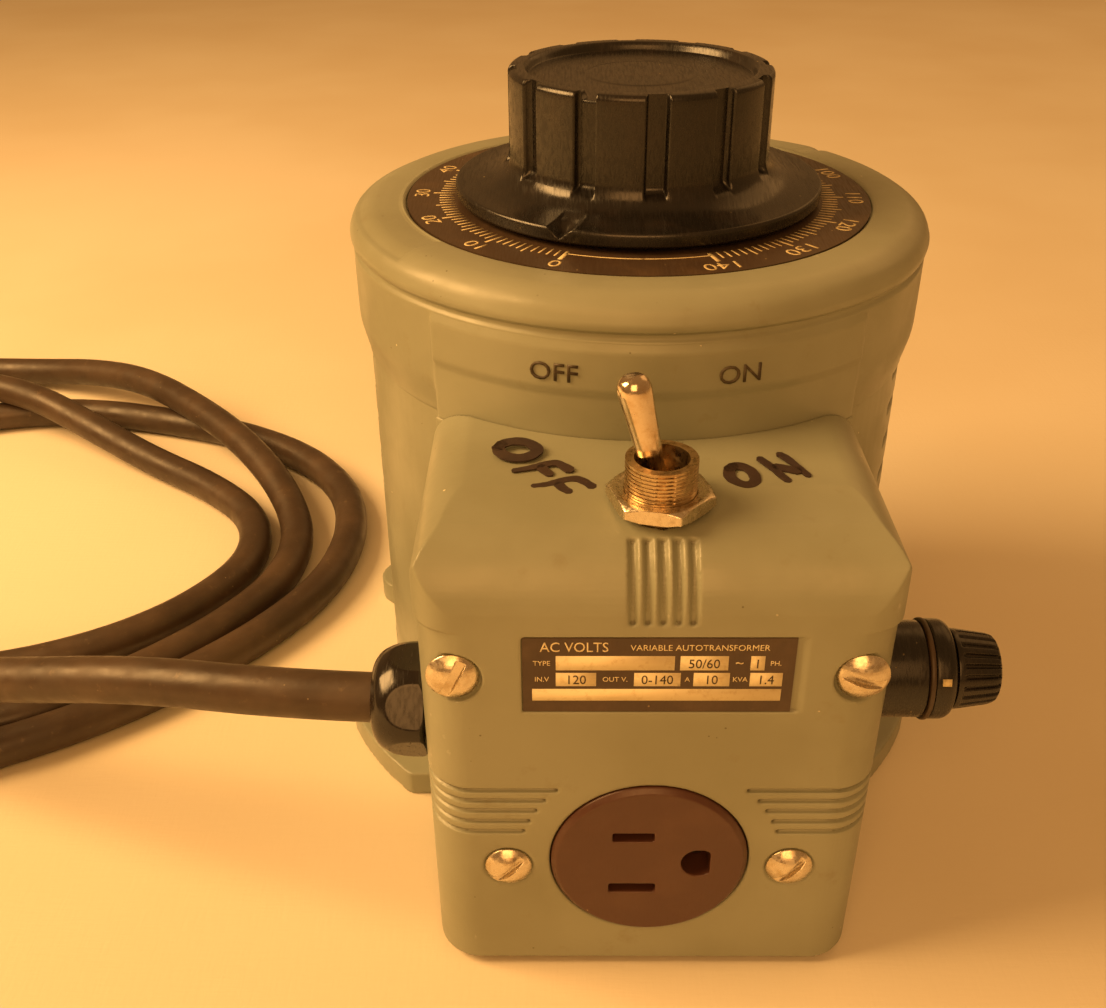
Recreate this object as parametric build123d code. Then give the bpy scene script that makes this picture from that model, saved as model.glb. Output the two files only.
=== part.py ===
from build123d import *
import math
import os

os.makedirs("parts", exist_ok=True)

# A bench variable autotransformer: a drum case with a toroidal winding, a dial and knob
# on top, and a terminal box with switch, fuse, outlet and supply cord on the front.
# Millimetres. +Z is up, the floor is z = 0, the knob's axis is the Z axis, and the
# terminal box stands towards -Y.

# ---------------------------------------------------------------- driving dimensions
DRUM_R = 57.2
DRUM_WALL = 1.8
BASE_THICK = 6.0
EAR_R = 71.0                     # reach of the mounting ears from the axis
EAR_MIDDLES = (35, 145, 215, 325)
EAR_HALF_ANGLE = 16.0
EAR_CORNER = 7.0
EAR_FRONT = -51.0                # the front ears are cut off square here
EAR_HOLE_R = 3.6
EAR_HOLE_X = 50.0
EAR_HOLE_Y = 38.0
BASE_SCREW_ANGLES = (45, 135, 225, 315)
BASE_SCREW_PCD_R = 38.0
CAP_SCREW_ANGLES = (30, 150, 270)
CAP_SCREW_PCD_R = 31.0
VENT_MIDDLES = (-1.0, 90.0, 170.0)
VENT_HALF_ANGLE = 24.0
VENT_HALF_HIGH = 1.2
VENT_PITCH = 8.0
BAND_R = 59.2                    # upper band of the top casting
PANEL_R = 60.0                   # raised front panel of the casting
SADDLE_R = 59.5                  # lower part of the front panel, behind the box
PANEL_HALF_ANGLE = 42.0
BAND_LOW = 92.0
BAND_FLARE = 98.0
PANEL_STEP = 102.0
PANEL_TOP = 111.5
BEAD_Z = 114.5
CAP_R = 59.8
DIAL_Z = 120.3
DIAL_R = 47.6
DIAL_THICK = 0.8

KNOB_SKIRT_R = 37.5
KNOB_SKIRT_LOW = 121.4
KNOB_SKIRT_TOP = 124.3
KNOB_GRIP_R = 26.4
KNOB_GRIP_LOW = 128.0
KNOB_TOP = 146.1
KNOB_NOTCHES = 12
KNOB_NOTCH_START = 4.0           # degrees round from -Y towards +X
POINTER_ANGLE = -115.7           # degrees from +X, where the pointer stands at rest
ARM_ANGLE = POINTER_ANGLE + 180  # the brush arm and stop arm point away from the pointer
KNOB_TRAVEL = (-4.0, 316.0)      # degrees clockwise from rest
SHAFT_R = 4.76
SHAFT_LOW = 8.0
SHAFT_TOP = 140.5
RUNNING = 0.05                   # radial clearance of a shaft in its bearing

BOX_FRONT = -96.4
BOX_BACK = -20.0                 # inside the drum, where the box is trimmed to fit it
BOX_HALF = 40.3
BOX_HALF_LOW = 39.3
BOX_LOW = 1.8
BOX_WALL = 2.2
BOX_LOWER_TOP = 82.0
BOX_LOWER_CORNER = 8.5
BOX_CROWN_CORNER = 7.0
CROWN_EDGE = 8.5                 # rounding of the crown's side edges
CROWN_DEPTH = 10.4               # the front rounding, along Y
CROWN_DROP = 14.2                # the front rounding, along Z
ARC_MIDDLE = 1 - math.sqrt(0.5)  # how far along its corner a quarter arc's middle lies
GROOVE_PITCH = 2.41
GROOVE_STEPS = ((0.95, 0.35), (0.55, 0.8))   # half width and depth, from the outside in
GROOVE_BACK = -88.9              # the grooves run from here down to GROOVE_LOW
GROOVE_LOW = 80.2
FLUTE_HALF = 0.5
FLUTE_DEEP = 0.85
TOP_AT_SWITCH = 93.5
TOP_SLOPE = 0.085

SWITCH_X = 0.4
SWITCH_Y = -81.0
BUSHING_R = 5.95
BUSHING_TOP = 102.4
THREAD_PITCH = 0.68
LEVER_PIVOT_Z = 95.0
LEVER_TILT = 14.0
LEVER_TOP = 22.4                 # from pivot to the rounded tip

OUTLET_Z = 28.0
OUTLET_R = 17.7
OUTLET_SCREW_X = 25.4
OUTLET_SCREW_Z = 26.2
COVER_SCREW_X = 33.7
COVER_SCREW_Z = 69.4
SPOT_R = 4.95                    # spot faces that seat the cover screws
SPOT_DEEP = 1.3
OUTLET_SPOT_R = 4.6
OUTLET_SPOT_DEEP = 0.5
PLATE_HALF = 22.3
PLATE_LOW = 62.4
PLATE_HIGH = 77.9
PLATE_DEEP = 0.7
PLATE_RAMP = 1.9                 # the recess runs out in a ramp to the plate's right

FUSE_Y = -76.0
FUSE_Z = 55.6
FUSE_FLANGE_LOW = 50.2           # along the fuse holder's axis, from the YZ plane
FUSE_FLANGE_TOP = 54.3
FUSE_CAP_LOW = 54.65
FUSE_CAP_TOP = 62.9
SIDE_FACE = 40.25                # where things seated on the box's sides begin
GLAND_Y = -77.0
GLAND_Z = 49.2
GLAND_TOP = 50.5
CORD_R = 4.65
LEAD_POINTS = [
    (-44.0, GLAND_Y, GLAND_Z), (-66.0, -76.4, 49.6), (-98.0, -67.5, 46.2),
    (-130.0, -57.4, 37.4), (-163.0, -45.5, 29.0), (-197.0, -29.0, 23.0),
    (-228.0, -5.0, 17.0),
]
TAIL_POINTS = [
    (-147.0, -43.0, CORD_R), (-172.0, -54.5, CORD_R), (-203.0, -60.6, CORD_R + 0.4),
    (-232.0, -61.0, 8.4), (-259.0, -57.6, 13.0),
]
HANK_TOP_Z = 18.9
HANK_CENTRE = (-190.0, 56.5)
HANK_REACH = (116.5, 108.0)
HANK_HOLE_CENTRE = (-176.0, 47.0)
HANK_HOLE_REACH = (62.0, 42.0)
PLUG_PLACE = (-257.0, -57.8, 13.4)
PLUG_TURN = 172.0                # direction the plug points, degrees from +X

CORE_LOW = 16.0
CORE_TOP = 76.0
CORE_IN = 23.0
CORE_OUT = 48.0
COIL_LOW = 13.0
COIL_TOP = 80.0
COIL_IN = 19.0
COIL_OUT = 52.0
STUD_ANGLES = (60, 180, 300)
STUD_PCD_R = 15.6
TRACK_IN = 41.0
TRACK_OUT = 50.0
TRACK_TOP = 80.6
BRUSH_R = 45.5
STOP_IN = 17.0                   # the stop block, from the shaft's axis
STOP_OUT = 23.0
STOP_ARM_HALF = 2.0
STOP_ARM_LOW = 99.1
STOP_ARM_TOP = 100.6
GAP = 0.3                        # clearance between things that move past each other
FIT = 0.05                       # clearance between things fixed in each other

BASE = (Align.CENTER, Align.CENTER, Align.MIN)


# ---------------------------------------------------------------- small helpers
def disc(radius, low, high):
    return Pos(0, 0, low) * Cylinder(radius, high - low, align=BASE)


def ring(outer, inner, low, high):
    return disc(outer, low, high) - disc(inner, low - 1, high + 1)


def block(x_low, x_high, y_low, y_high, z_low, z_high):
    size = Box(x_high - x_low, y_high - y_low, z_high - z_low)
    return Pos((x_low + x_high) / 2, (y_low + y_high) / 2, (z_low + z_high) / 2) * size


def turned(points):
    face = Plane.XZ * make_face(Polyline(points, close=True))
    return revolve(face, Axis.Z, 360)


def sector(outer, inner, low, high, middle, half_angle):
    """Part of a ring, centred on the direction `middle`, in degrees from +X."""
    face = Plane.XZ * make_face(
        Polyline([(inner, low), (outer, low), (outer, high), (inner, high)], close=True)
    )
    return Rot(0, 0, middle - half_angle) * revolve(face, Axis.Z, 2 * half_angle)


def rod_x(radius, x_low, x_high, y, z):
    return Pos(x_low, y, z) * Rot(0, 90, 0) * Cylinder(radius, x_high - x_low, align=BASE)


def rod_y(radius, y_low, y_high, x, z):
    return Pos(x, y_high, z) * Rot(90, 0, 0) * Cylinder(radius, y_high - y_low, align=BASE)


def rod_z(radius, z_low, z_high, x, y):
    return Pos(x, y, 0) * disc(radius, z_low, z_high)


def polar(radius, angle):
    turn = math.radians(angle)
    return radius * math.cos(turn), radius * math.sin(turn)


def hexagon(across_flats, low, high, turn=0.0):
    face = Rot(0, 0, turn) * RegularPolygon(across_flats / 2, 6, major_radius=False)
    return Pos(0, 0, low) * extrude(face, high - low)


def save(name, *solids):
    shape = solids[0] if len(solids) == 1 else Compound(children=list(solids))
    export_step(shape, f"parts/{name}.step")


# ---------------------------------------------------------------- drum and castings
def base_plate():
    plate = disc(DRUM_R, 0, BASE_THICK)
    box_room = block(-BOX_HALF - 0.8, BOX_HALF + 0.8, BOX_FRONT, -40.0, -1, BASE_THICK + 1)
    front_room = block(-EAR_R, EAR_R, BOX_FRONT, EAR_FRONT, -1, BASE_THICK + 1)
    for middle in EAR_MIDDLES:
        ear = sector(EAR_R, DRUM_R - 12, 0, BASE_THICK, middle, EAR_HALF_ANGLE)
        upright = ear.edges().filter_by(Axis.Z)
        corners = upright.sort_by(lambda edge: math.hypot(edge.center().X, edge.center().Y))[-2:]
        plate = plate + (fillet(corners, EAR_CORNER) - box_room - front_room)
    plate = plate + ring(DRUM_R - DRUM_WALL - GAP, DRUM_R - 7, BASE_THICK, BASE_THICK + 5)
    plate = plate + ring(11.0, 7.5 + FIT, BASE_THICK - 1, 13.0)
    plate = plate - disc(7.5 + FIT, 2.0, 14.0)
    for angle in BASE_SCREW_ANGLES:
        x, y = polar(BASE_SCREW_PCD_R, angle)
        plate = plate - rod_z(2.3, -1, BASE_THICK + 1, x, y)
        plate = plate - rod_z(4.6, -1, 3.2, x, y)
    for x in (-EAR_HOLE_X, EAR_HOLE_X):
        for y in (-EAR_HOLE_Y, EAR_HOLE_Y):
            plate = plate - rod_z(EAR_HOLE_R, -1, BASE_THICK + 1, x, y)
    return plate - block(-50, 50, BOX_FRONT, -SADDLE_R + 1, -1, BASE_THICK + 1)


def vent_rows():
    upper = [58.0 + VENT_PITCH * step for step in range(5)]
    lower = [16.0 + VENT_PITCH * step for step in range(2)]
    return upper + lower


def case_drum():
    shell = ring(DRUM_R, DRUM_R - DRUM_WALL, BASE_THICK, BAND_LOW + 4)
    saddle = sector(SADDLE_R, DRUM_R - 0.5, BASE_THICK, BAND_LOW - 1, -90, PANEL_HALF_ANGLE)
    shell = shell + saddle
    for height in vent_rows():
        for middle in VENT_MIDDLES:
            slot = sector(DRUM_R + 2, DRUM_R - 4, height - VENT_HALF_HIGH,
                          height + VENT_HALF_HIGH, middle, VENT_HALF_ANGLE)
            shell = shell - slot
    return shell - block(-18, 18, -70, -40, 46, 62)


def case_top():
    outline = [
        (DRUM_R + FIT, BAND_LOW), (BAND_R, BAND_FLARE), (BAND_R, 112.6), (BAND_R - 0.5, 113.2),
        (BAND_R - 0.5, 113.8), (CAP_R - 0.2, BEAD_Z), (CAP_R, 115.4), (CAP_R - 0.5, 117.0),
        (CAP_R - 1.7, 118.5), (CAP_R - 3.4, 119.6), (CAP_R - 5.6, 120.3), (CAP_R - 8.2, 120.6),
        (DIAL_R + 2.0, 120.5), (DIAL_R + 0.3, 120.1), (DIAL_R + 0.3, DIAL_Z - DIAL_THICK),
        (8.0 + FIT, DIAL_Z - DIAL_THICK), (8.0 + FIT, 104.0), (13.0, 104.0), (13.0, 115.5),
        (DRUM_R - 3, 115.5), (DRUM_R - 1.2, 112.0), (DRUM_R - 1.2, 97.0),
        (DRUM_R + FIT, 97.0),
    ]
    cap = turned(outline)
    upper = sector(PANEL_R, DRUM_R, PANEL_STEP, PANEL_TOP, -90, PANEL_HALF_ANGLE)
    lower = sector(SADDLE_R, DRUM_R + FIT, BAND_LOW - 0.9, PANEL_STEP, -90, PANEL_HALF_ANGLE)
    cap = cap + upper + lower
    for angle in CAP_SCREW_ANGLES:
        x, y = polar(CAP_SCREW_PCD_R, angle)
        cap = cap - rod_z(2.1, 110, 125, x, y)
    return cap


def base_screws():
    screws = []
    for angle in BASE_SCREW_ANGLES:
        x, y = polar(BASE_SCREW_PCD_R, angle)
        screws.append(rod_z(4.2, 0.6, 3.1, x, y) + rod_z(2.0, 3.0, 11.2, x, y)
                      - block(x - 5, x + 5, y - 0.5, y + 0.5, 0, 1.6))
    return screws


def cap_screws():
    screws = []
    for angle in CAP_SCREW_ANGLES:
        x, y = polar(CAP_SCREW_PCD_R, angle)
        screws.append(rod_z(1.9, 104.0, 119.4, x, y))
    return screws


def dial_plate():
    return ring(DIAL_R, 8.6, DIAL_Z - DIAL_THICK + 0.02, DIAL_Z)


# ---------------------------------------------------------------- winding and rotor
def toroid_core():
    return ring(CORE_OUT, CORE_IN, CORE_LOW, CORE_TOP)


def winding():
    coil = ring(COIL_OUT, COIL_IN, COIL_LOW, COIL_TOP)
    coil = fillet(coil.edges().filter_by(GeomType.CIRCLE), 2.6)
    return coil - ring(CORE_OUT + FIT, CORE_IN - FIT, CORE_LOW - FIT, CORE_TOP + FIT)


def commutator_track():
    track = ring(TRACK_OUT, TRACK_IN, COIL_TOP + 0.02, TRACK_TOP)
    for step in range(72):
        slit = block(TRACK_IN - 1, TRACK_OUT + 1, -0.15, 0.15, TRACK_TOP - 0.25, TRACK_TOP + 1)
        track = track - Rot(0, 0, 5.0 * step) * slit
    return track


def lower_insulator():
    return ring(51.0, 12.0, 11.4, 12.9) - block(-60, 60, -56, -38.0, 10, 14)


def core_clamp_studs():
    clamps = []
    for angle in STUD_ANGLES:
        x, y = polar(STUD_PCD_R, angle)
        clamps.append(rod_z(1.9, 13.05, 88.0, x, y) + rod_z(3.1, 81.0, 84.0, x, y))
    return clamps


def core_clamp_plate():
    plate = ring(24.0, 9.0, COIL_TOP + 0.05, COIL_TOP + 0.95)
    for angle in STUD_ANGLES:
        x, y = polar(STUD_PCD_R, angle)
        plate = plate - rod_z(2.0, 70, 90, x, y)
    return plate


def shaft():
    body = disc(SHAFT_R, SHAFT_LOW, SHAFT_TOP)
    return body - block(SHAFT_R - 1.2, SHAFT_R + 1, -6, 6, 125.0, SHAFT_TOP + 1)


def lower_bearing():
    return ring(7.5, SHAFT_R + RUNNING, 2.4, 14.0)


def upper_bearing():
    return ring(8.0, SHAFT_R + RUNNING, 103.0, 119.4) + ring(11.0, SHAFT_R + RUNNING, 101.0, 103.0)


def thrust_collar():
    return ring(8.6, SHAFT_R + FIT, 14.3, 19.5) - rod_x(1.55, 0, 12, 0, 17.0)


def collar_screw():
    return rod_x(1.5, SHAFT_R + 0.1, 8.5, 0, 17.0)


def on_arm(shape):
    return Rot(0, 0, ARM_ANGLE) * shape


def brush_arm():
    hub = ring(10.0, SHAFT_R + FIT, 90.0, 99.0)
    bar = block(8.0, 52.0, -6.5, 6.5, 92.0, 95.0)
    arm = hub + bar - disc(SHAFT_R + FIT, 80, 100)
    arm = arm - block(BRUSH_R - 4.55, BRUSH_R + 4.55, -4.05, 4.05, 90, 96)
    return on_arm(arm)


def brush_holder():
    box = block(BRUSH_R - 4.5, BRUSH_R + 4.5, -4.0, 4.0, 83.5, 97.0)
    box = box - block(BRUSH_R - 3.3, BRUSH_R + 3.3, -2.8, 2.8, 83.0, 95.6)
    return on_arm(box)


def carbon_brush():
    return on_arm(block(BRUSH_R - 3.0, BRUSH_R + 3.0, -2.5, 2.5, TRACK_TOP + 0.06, 90.0))


def brush_spring():
    wire_r = 0.28
    coil_r = 1.7
    path = Helix(pitch=1.1, height=4.4, radius=coil_r)
    start = Plane(origin=path @ 0, z_dir=path % 0)
    wire = sweep(start * Circle(wire_r), path=path)
    return on_arm(Pos(BRUSH_R, 0, 90.5) * wire)


def stop_block():
    """Hangs from the casting in the gap that the stop arm's travel leaves free."""
    low, high = KNOB_TRAVEL
    gap_middle = ARM_ANGLE - (low + high) / 2 - 180
    gap_half = (360 - (high - low)) / 2
    arm_half = math.degrees(math.asin((STOP_ARM_HALF + GAP) / STOP_IN))
    return sector(STOP_OUT, STOP_IN, 97.0, 115.4, gap_middle, gap_half - arm_half)


def stop_arm():
    lug = ring(9.0, SHAFT_R + FIT, STOP_ARM_LOW, STOP_ARM_TOP)
    lug = lug + block(7.0, STOP_OUT - 1, -STOP_ARM_HALF, STOP_ARM_HALF, STOP_ARM_LOW, STOP_ARM_TOP)
    return on_arm(lug - disc(SHAFT_R + FIT, 90, 110))


# ---------------------------------------------------------------- knob
def knob_outline():
    flare = ThreePointArc((KNOB_SKIRT_R - 0.4, KNOB_SKIRT_TOP), (30.2, 125.2),
                          (KNOB_GRIP_R, KNOB_GRIP_LOW))
    outer = [
        Line((KNOB_SKIRT_R - 2.5, KNOB_SKIRT_LOW), (KNOB_SKIRT_R - 0.3, KNOB_SKIRT_LOW)),
        Line((KNOB_SKIRT_R - 0.3, KNOB_SKIRT_LOW), (KNOB_SKIRT_R, KNOB_SKIRT_LOW + 0.4)),
        Line((KNOB_SKIRT_R, KNOB_SKIRT_LOW + 0.4), (KNOB_SKIRT_R, KNOB_SKIRT_TOP - 0.4)),
        Line((KNOB_SKIRT_R, KNOB_SKIRT_TOP - 0.4), (KNOB_SKIRT_R - 0.4, KNOB_SKIRT_TOP)),
        flare,
    ]
    rest = Polyline([
        (KNOB_GRIP_R, KNOB_GRIP_LOW), (KNOB_GRIP_R, KNOB_TOP - 0.9), (KNOB_GRIP_R - 0.9, KNOB_TOP),
        (23.2, KNOB_TOP), (22.7, KNOB_TOP - 0.5), (22.5, KNOB_TOP - 1.6), (0, KNOB_TOP - 1.6),
        (0, SHAFT_TOP + 0.3), (SHAFT_R + FIT, SHAFT_TOP + 0.3), (SHAFT_R + FIT, KNOB_SKIRT_LOW),
        (9.5, KNOB_SKIRT_LOW), (9.5, 141.0), (21.5, 141.0), (21.5, 126.0), (28.0, 123.2),
        (KNOB_SKIRT_R - 2.5, 122.4), (KNOB_SKIRT_R - 2.5, KNOB_SKIRT_LOW),
    ])
    return make_face(Wire(outer + rest.edges()))


def knob():
    grip = revolve(Plane.XZ * knob_outline(), Axis.Z, 360)
    for step in range(KNOB_NOTCHES):
        angle = -90 + KNOB_NOTCH_START + 360 / KNOB_NOTCHES * step
        x, y = polar(KNOB_GRIP_R + 0.7, angle)
        grip = grip - rod_z(2.5, KNOB_GRIP_LOW - 0.6, KNOB_TOP + 1, x, y)
    tab = block(33.4, KNOB_SKIRT_R - 0.1, -2.4, 2.4, 123.4, 125.3)
    groove = Rot(45, 0, 0) * Box(8, 1.5, 1.5)
    pointer = tab - Pos(KNOB_SKIRT_R - 2, 0, 125.5) * groove
    grip = grip + Rot(0, 0, POINTER_ANGLE) * pointer
    return grip - Rot(0, 0, 90) * rod_x(1.65, 0, 30, 0, 133.0)


def knob_set_screw():
    return Rot(0, 0, 90) * rod_x(1.6, SHAFT_R + 0.1, 9.3, 0, 133.0)


# ---------------------------------------------------------------- terminal box
def half_width(height):
    """The lower box's sides lean out a little as they rise."""
    rise = max(0.0, height - BOX_LOW) / (BOX_LOWER_TOP - BOX_LOW)
    return BOX_HALF_LOW + (BOX_HALF - BOX_HALF_LOW) * min(1.0, rise ** 0.8)


def plan(half, front, corner):
    """Rounded rectangle that runs back into the drum."""
    face = Pos(0, (front + BOX_BACK) / 2) * Rectangle(2 * half, BOX_BACK - front)
    return fillet(face.vertices().sort_by(Axis.Y)[:2], corner)


def lower_form(inset, low):
    bottom = Pos(0, 0, low) * plan(half_width(low) - inset, BOX_FRONT + inset,
                                   BOX_LOWER_CORNER - inset)
    top = Pos(0, 0, BOX_LOWER_TOP) * plan(BOX_HALF - 0.35 - inset, BOX_FRONT + inset,
                                          BOX_LOWER_CORNER - inset)
    return loft([bottom, top])


def top_height(y):
    return TOP_AT_SWITCH + TOP_SLOPE * (y - SWITCH_Y)


def crown_form(inset):
    shoulder = BOX_FRONT + CROWN_DEPTH
    base_z = BOX_LOWER_TOP - 3.2
    high = top_height(shoulder) - inset
    front = BOX_FRONT + inset
    bend = high - CROWN_DROP + inset
    mid = (front + ARC_MIDDLE * (shoulder - front), high - ARC_MIDDLE * (high - bend))
    side = Wire([
        Line((front, base_z), (front, bend)),
        ThreePointArc((front, bend), mid, (shoulder, high)),
        Line((shoulder, high), (BOX_BACK, top_height(BOX_BACK) - inset)),
        Line((BOX_BACK, top_height(BOX_BACK) - inset), (BOX_BACK, base_z)),
        Line((BOX_BACK, base_z), (front, base_z)),
    ])
    width = BOX_HALF - inset
    body = extrude(Plane.YZ * make_face(side), width, both=True)
    column = extrude(Pos(0, 0, base_z) * plan(width, front, max(2.0, BOX_CROWN_CORNER - inset)),
                     40)
    arch = Rectangle(2 * width, 60)
    arch = fillet(arch.vertices().sort_by(Axis.Y)[-2:], CROWN_EDGE - inset)
    tops = extrude(Plane.XZ * (Pos(0, high + 0.9 - 30) * arch), 120, both=True)
    return body & column & tops


def outer_box():
    return lower_form(0, BOX_LOW) + crown_form(0)


def crown_grooves():
    """Five hollow grooves over the crown's front edge, in line with the switch."""
    cuts = []
    for half, deep in GROOVE_STEPS:
        skin = block(-15, 15, BOX_FRONT - 2, GROOVE_BACK, GROOVE_LOW, 100) - crown_form(deep)
        for step in range(5):
            x = SWITCH_X + GROOVE_PITCH * (step - 2)
            cuts.append(skin & block(x - half, x + half, BOX_FRONT - 3, -80, 60, 110))
    return cuts


def box_flutes():
    cuts = []
    rows = [(44.7, 16.4), (42.3, 18.5), (39.9, 20.0), (37.4, 21.3), (34.9, 22.2)]
    for height, start in rows:
        inner = extrude(Pos(0, 0, height - 2) * plan(half_width(height) - FLUTE_DEEP,
                                                     BOX_FRONT + FLUTE_DEEP,
                                                     BOX_LOWER_CORNER - FLUTE_DEEP), 4)
        for side in (-1, 1):
            x_low, x_high = sorted((side * start, side * 50))
            slab = block(x_low, x_high, BOX_FRONT - 2, -78, height - FLUTE_HALF,
                         height + FLUTE_HALF)
            cuts.append(slab - inner)
    return cuts


def plate_recess():
    """The nameplate's pocket, with a sloping wall on its right."""
    deep = BOX_FRONT + PLATE_DEEP
    outline = Polyline([
        (-PLATE_HALF, BOX_FRONT - 1), (-PLATE_HALF, deep), (PLATE_HALF + 0.3, deep),
        (PLATE_HALF + PLATE_RAMP, BOX_FRONT), (PLATE_HALF + PLATE_RAMP, BOX_FRONT - 1),
    ], close=True)
    return Pos(0, 0, PLATE_LOW) * extrude(make_face(outline), PLATE_HIGH - PLATE_LOW)


def terminal_cover():
    cover = outer_box()
    cover = cover - lower_form(BOX_WALL, BOX_LOW - 0.01) - crown_form(BOX_WALL)
    for side in (-1, 1):
        boss = rod_y(SPOT_R + 1.0, BOX_FRONT, BOX_FRONT + 5.0, side * COVER_SCREW_X, COVER_SCREW_Z)
        cover = cover + (boss & lower_form(0.4, BOX_LOW))
        cover = cover - rod_y(SPOT_R, BOX_FRONT - 3, BOX_FRONT + SPOT_DEEP,
                              side * COVER_SCREW_X, COVER_SCREW_Z)
    cover = cover - disc(SADDLE_R + 0.1, -5, 130)
    for cut in crown_grooves() + box_flutes():
        cover = cover - cut
    cover = cover - plate_recess()
    cover = cover - rod_y(OUTLET_R + 0.25, BOX_FRONT - 2, BOX_FRONT + 6, 0, OUTLET_Z)
    for side in (-1, 1):
        cover = cover - rod_y(2.2, BOX_FRONT - 2, BOX_FRONT + 6, side * OUTLET_SCREW_X,
                              OUTLET_SCREW_Z)
        cover = cover - rod_y(OUTLET_SPOT_R, BOX_FRONT - 2, BOX_FRONT + OUTLET_SPOT_DEEP,
                              side * OUTLET_SCREW_X, OUTLET_SCREW_Z)
        cover = cover - rod_y(2.4, BOX_FRONT - 2, BOX_FRONT + 13, side * COVER_SCREW_X,
                              COVER_SCREW_Z)
    cover = cover - rod_z(BUSHING_R + 0.2, 86, 100, SWITCH_X, SWITCH_Y)
    cover = cover - rod_x(6.6, 30, 44, FUSE_Y, FUSE_Z)
    cover = cover - rod_x(7.2, -44, -30, GLAND_Y, GLAND_Z)
    return cover


def slotted_screw(x, z, face, head_r, shank_r, length, slot_wide, slot_angle):
    """Domed slotted screw whose head rests on the plane y = face and looks towards -Y."""
    dome = 1.9
    sphere_r = (head_r ** 2 + dome ** 2) / (2 * dome)
    ball = Pos(x, face + sphere_r - dome - 0.4, z) * Sphere(sphere_r)
    head = ball & rod_y(head_r, face - 5, face, x, z)
    screw = head + rod_y(shank_r, face - 0.1, face + length, x, z)
    slot = Pos(x, face - 2.4, z) * Rot(0, slot_angle, 0) * Box(3 * head_r, 2.8, slot_wide)
    return screw - slot


def cover_screws():
    places = [(-COVER_SCREW_X, -64.0), (COVER_SCREW_X, 17.0)]
    seat = BOX_FRONT + SPOT_DEEP - FIT
    return [slotted_screw(x, COVER_SCREW_Z, seat, 4.45, 2.0, 12.0, 1.7, turn)
            for x, turn in places]


def outlet_screws():
    places = [(-OUTLET_SCREW_X, -45.0), (OUTLET_SCREW_X, -48.0)]
    seat = BOX_FRONT + OUTLET_SPOT_DEEP - FIT
    return [slotted_screw(x, OUTLET_SCREW_Z, seat, 4.25, 1.9, 7.0, 1.3, turn)
            for x, turn in places]


def cover_brackets():
    """Two tapped steel angles on the drum that take the cover screws."""
    brackets = []
    for side in (-1, 1):
        x_low, x_high = sorted((side * 29.5, side * 35.2))
        tab = BOX_FRONT + 9.5
        post = block(x_low, x_high, tab, -40.0, COVER_SCREW_Z - 5, COVER_SCREW_Z + 5)
        cut_low, cut_high = sorted((side * 31.0, side * 37.0))
        post = post - block(cut_low, cut_high, tab + 2.5, -39.0, 50, 90)
        post = post - disc(SADDLE_R + FIT, 0, 120)
        post = post - rod_y(2.05, BOX_FRONT, tab + 5, side * COVER_SCREW_X, COVER_SCREW_Z)
        brackets.append(post)
    return brackets


def nameplate():
    return block(-PLATE_HALF + 0.15, PLATE_HALF - 0.15, BOX_FRONT + 0.2,
                 BOX_FRONT + PLATE_DEEP - 0.02, PLATE_LOW + 0.15, PLATE_HIGH - 0.15)


# ---------------------------------------------------------------- outlet
def outlet_holes():
    line_slot = block(-3.0 - 3.7, -3.0 + 3.7, -120, -80, OUTLET_Z + 6.35 - 1.05,
                      OUTLET_Z + 6.35 + 1.05)
    neutral_slot = block(-3.0 - 4.25, -3.0 + 4.25, -120, -80, OUTLET_Z - 6.35 - 1.05,
                         OUTLET_Z - 6.35 + 1.05)
    earth = rod_y(3.2, -120, -76, 8.9, OUTLET_Z) - block(10.9, 14, -121, -75, 10, 50)
    return line_slot + neutral_slot + earth


def outlet_face():
    face = rod_y(OUTLET_R, BOX_FRONT - 0.9, BOX_FRONT + 3.0, 0, OUTLET_Z)
    face = chamfer(face.edges().sort_by(Axis.Y)[0], 0.9)
    flange = rod_y(20.5, BOX_FRONT + BOX_WALL + 0.05, BOX_FRONT + 5.0, 0, OUTLET_Z)
    flange = flange & block(-30, 30, -120, -60, OUTLET_Z - 17, OUTLET_Z + 17)
    return face + flange - outlet_holes()


def outlet_body():
    body = block(-17, 17, BOX_FRONT + 6.3, -71.0, OUTLET_Z - 15.5, OUTLET_Z + 15.5)
    body = fillet(body.edges().filter_by(Axis.Y), 4.0)
    return body - outlet_holes() - outlet_pockets()


def outlet_pockets():
    pockets = []
    for x, z, size in outlet_contact_places():
        pockets.append(block(x - size - 0.3, x + size + 0.3, -86.3, -70.0, z - 3.1, z + 3.1))
    return pockets[0] + pockets[1] + pockets[2]


def outlet_contact_places():
    return [(-3.0, OUTLET_Z + 6.35, 5.2), (-3.0, OUTLET_Z - 6.35, 5.2), (8.9, OUTLET_Z, 3.4)]


def outlet_contacts():
    contacts = []
    for x, z, size in outlet_contact_places():
        clip = block(x - size, x + size, -86.0, -68.5, z - 2.8, z + 2.8)
        clip = clip - block(x - size - 1, x + size + 1, -87.0, -74.0, z - 1.9, z + 1.9)
        contacts.append(clip)
    return contacts


def outlet_strap():
    y_low = BOX_FRONT + 5.05
    strap = block(-32, 32, y_low, y_low + 1.2, OUTLET_Z - 9, OUTLET_Z + 9)
    strap = strap - outlet_holes()
    for side in (-1, 1):
        strap = strap - rod_y(1.95, y_low - 1, y_low + 3, side * OUTLET_SCREW_X, OUTLET_SCREW_Z)
    return strap


def outlet_terminal_screws():
    screws = []
    for x, z in ((-20.0, OUTLET_Z + 6), (-20.0, OUTLET_Z - 6), (20.0, OUTLET_Z)):
        side = 1 if x > 0 else -1
        x_low, x_high = sorted((side * 17.1, side * 19.6))
        screws.append(rod_x(3.0, x_low, x_high, -80.0, z))
    return screws


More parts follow.
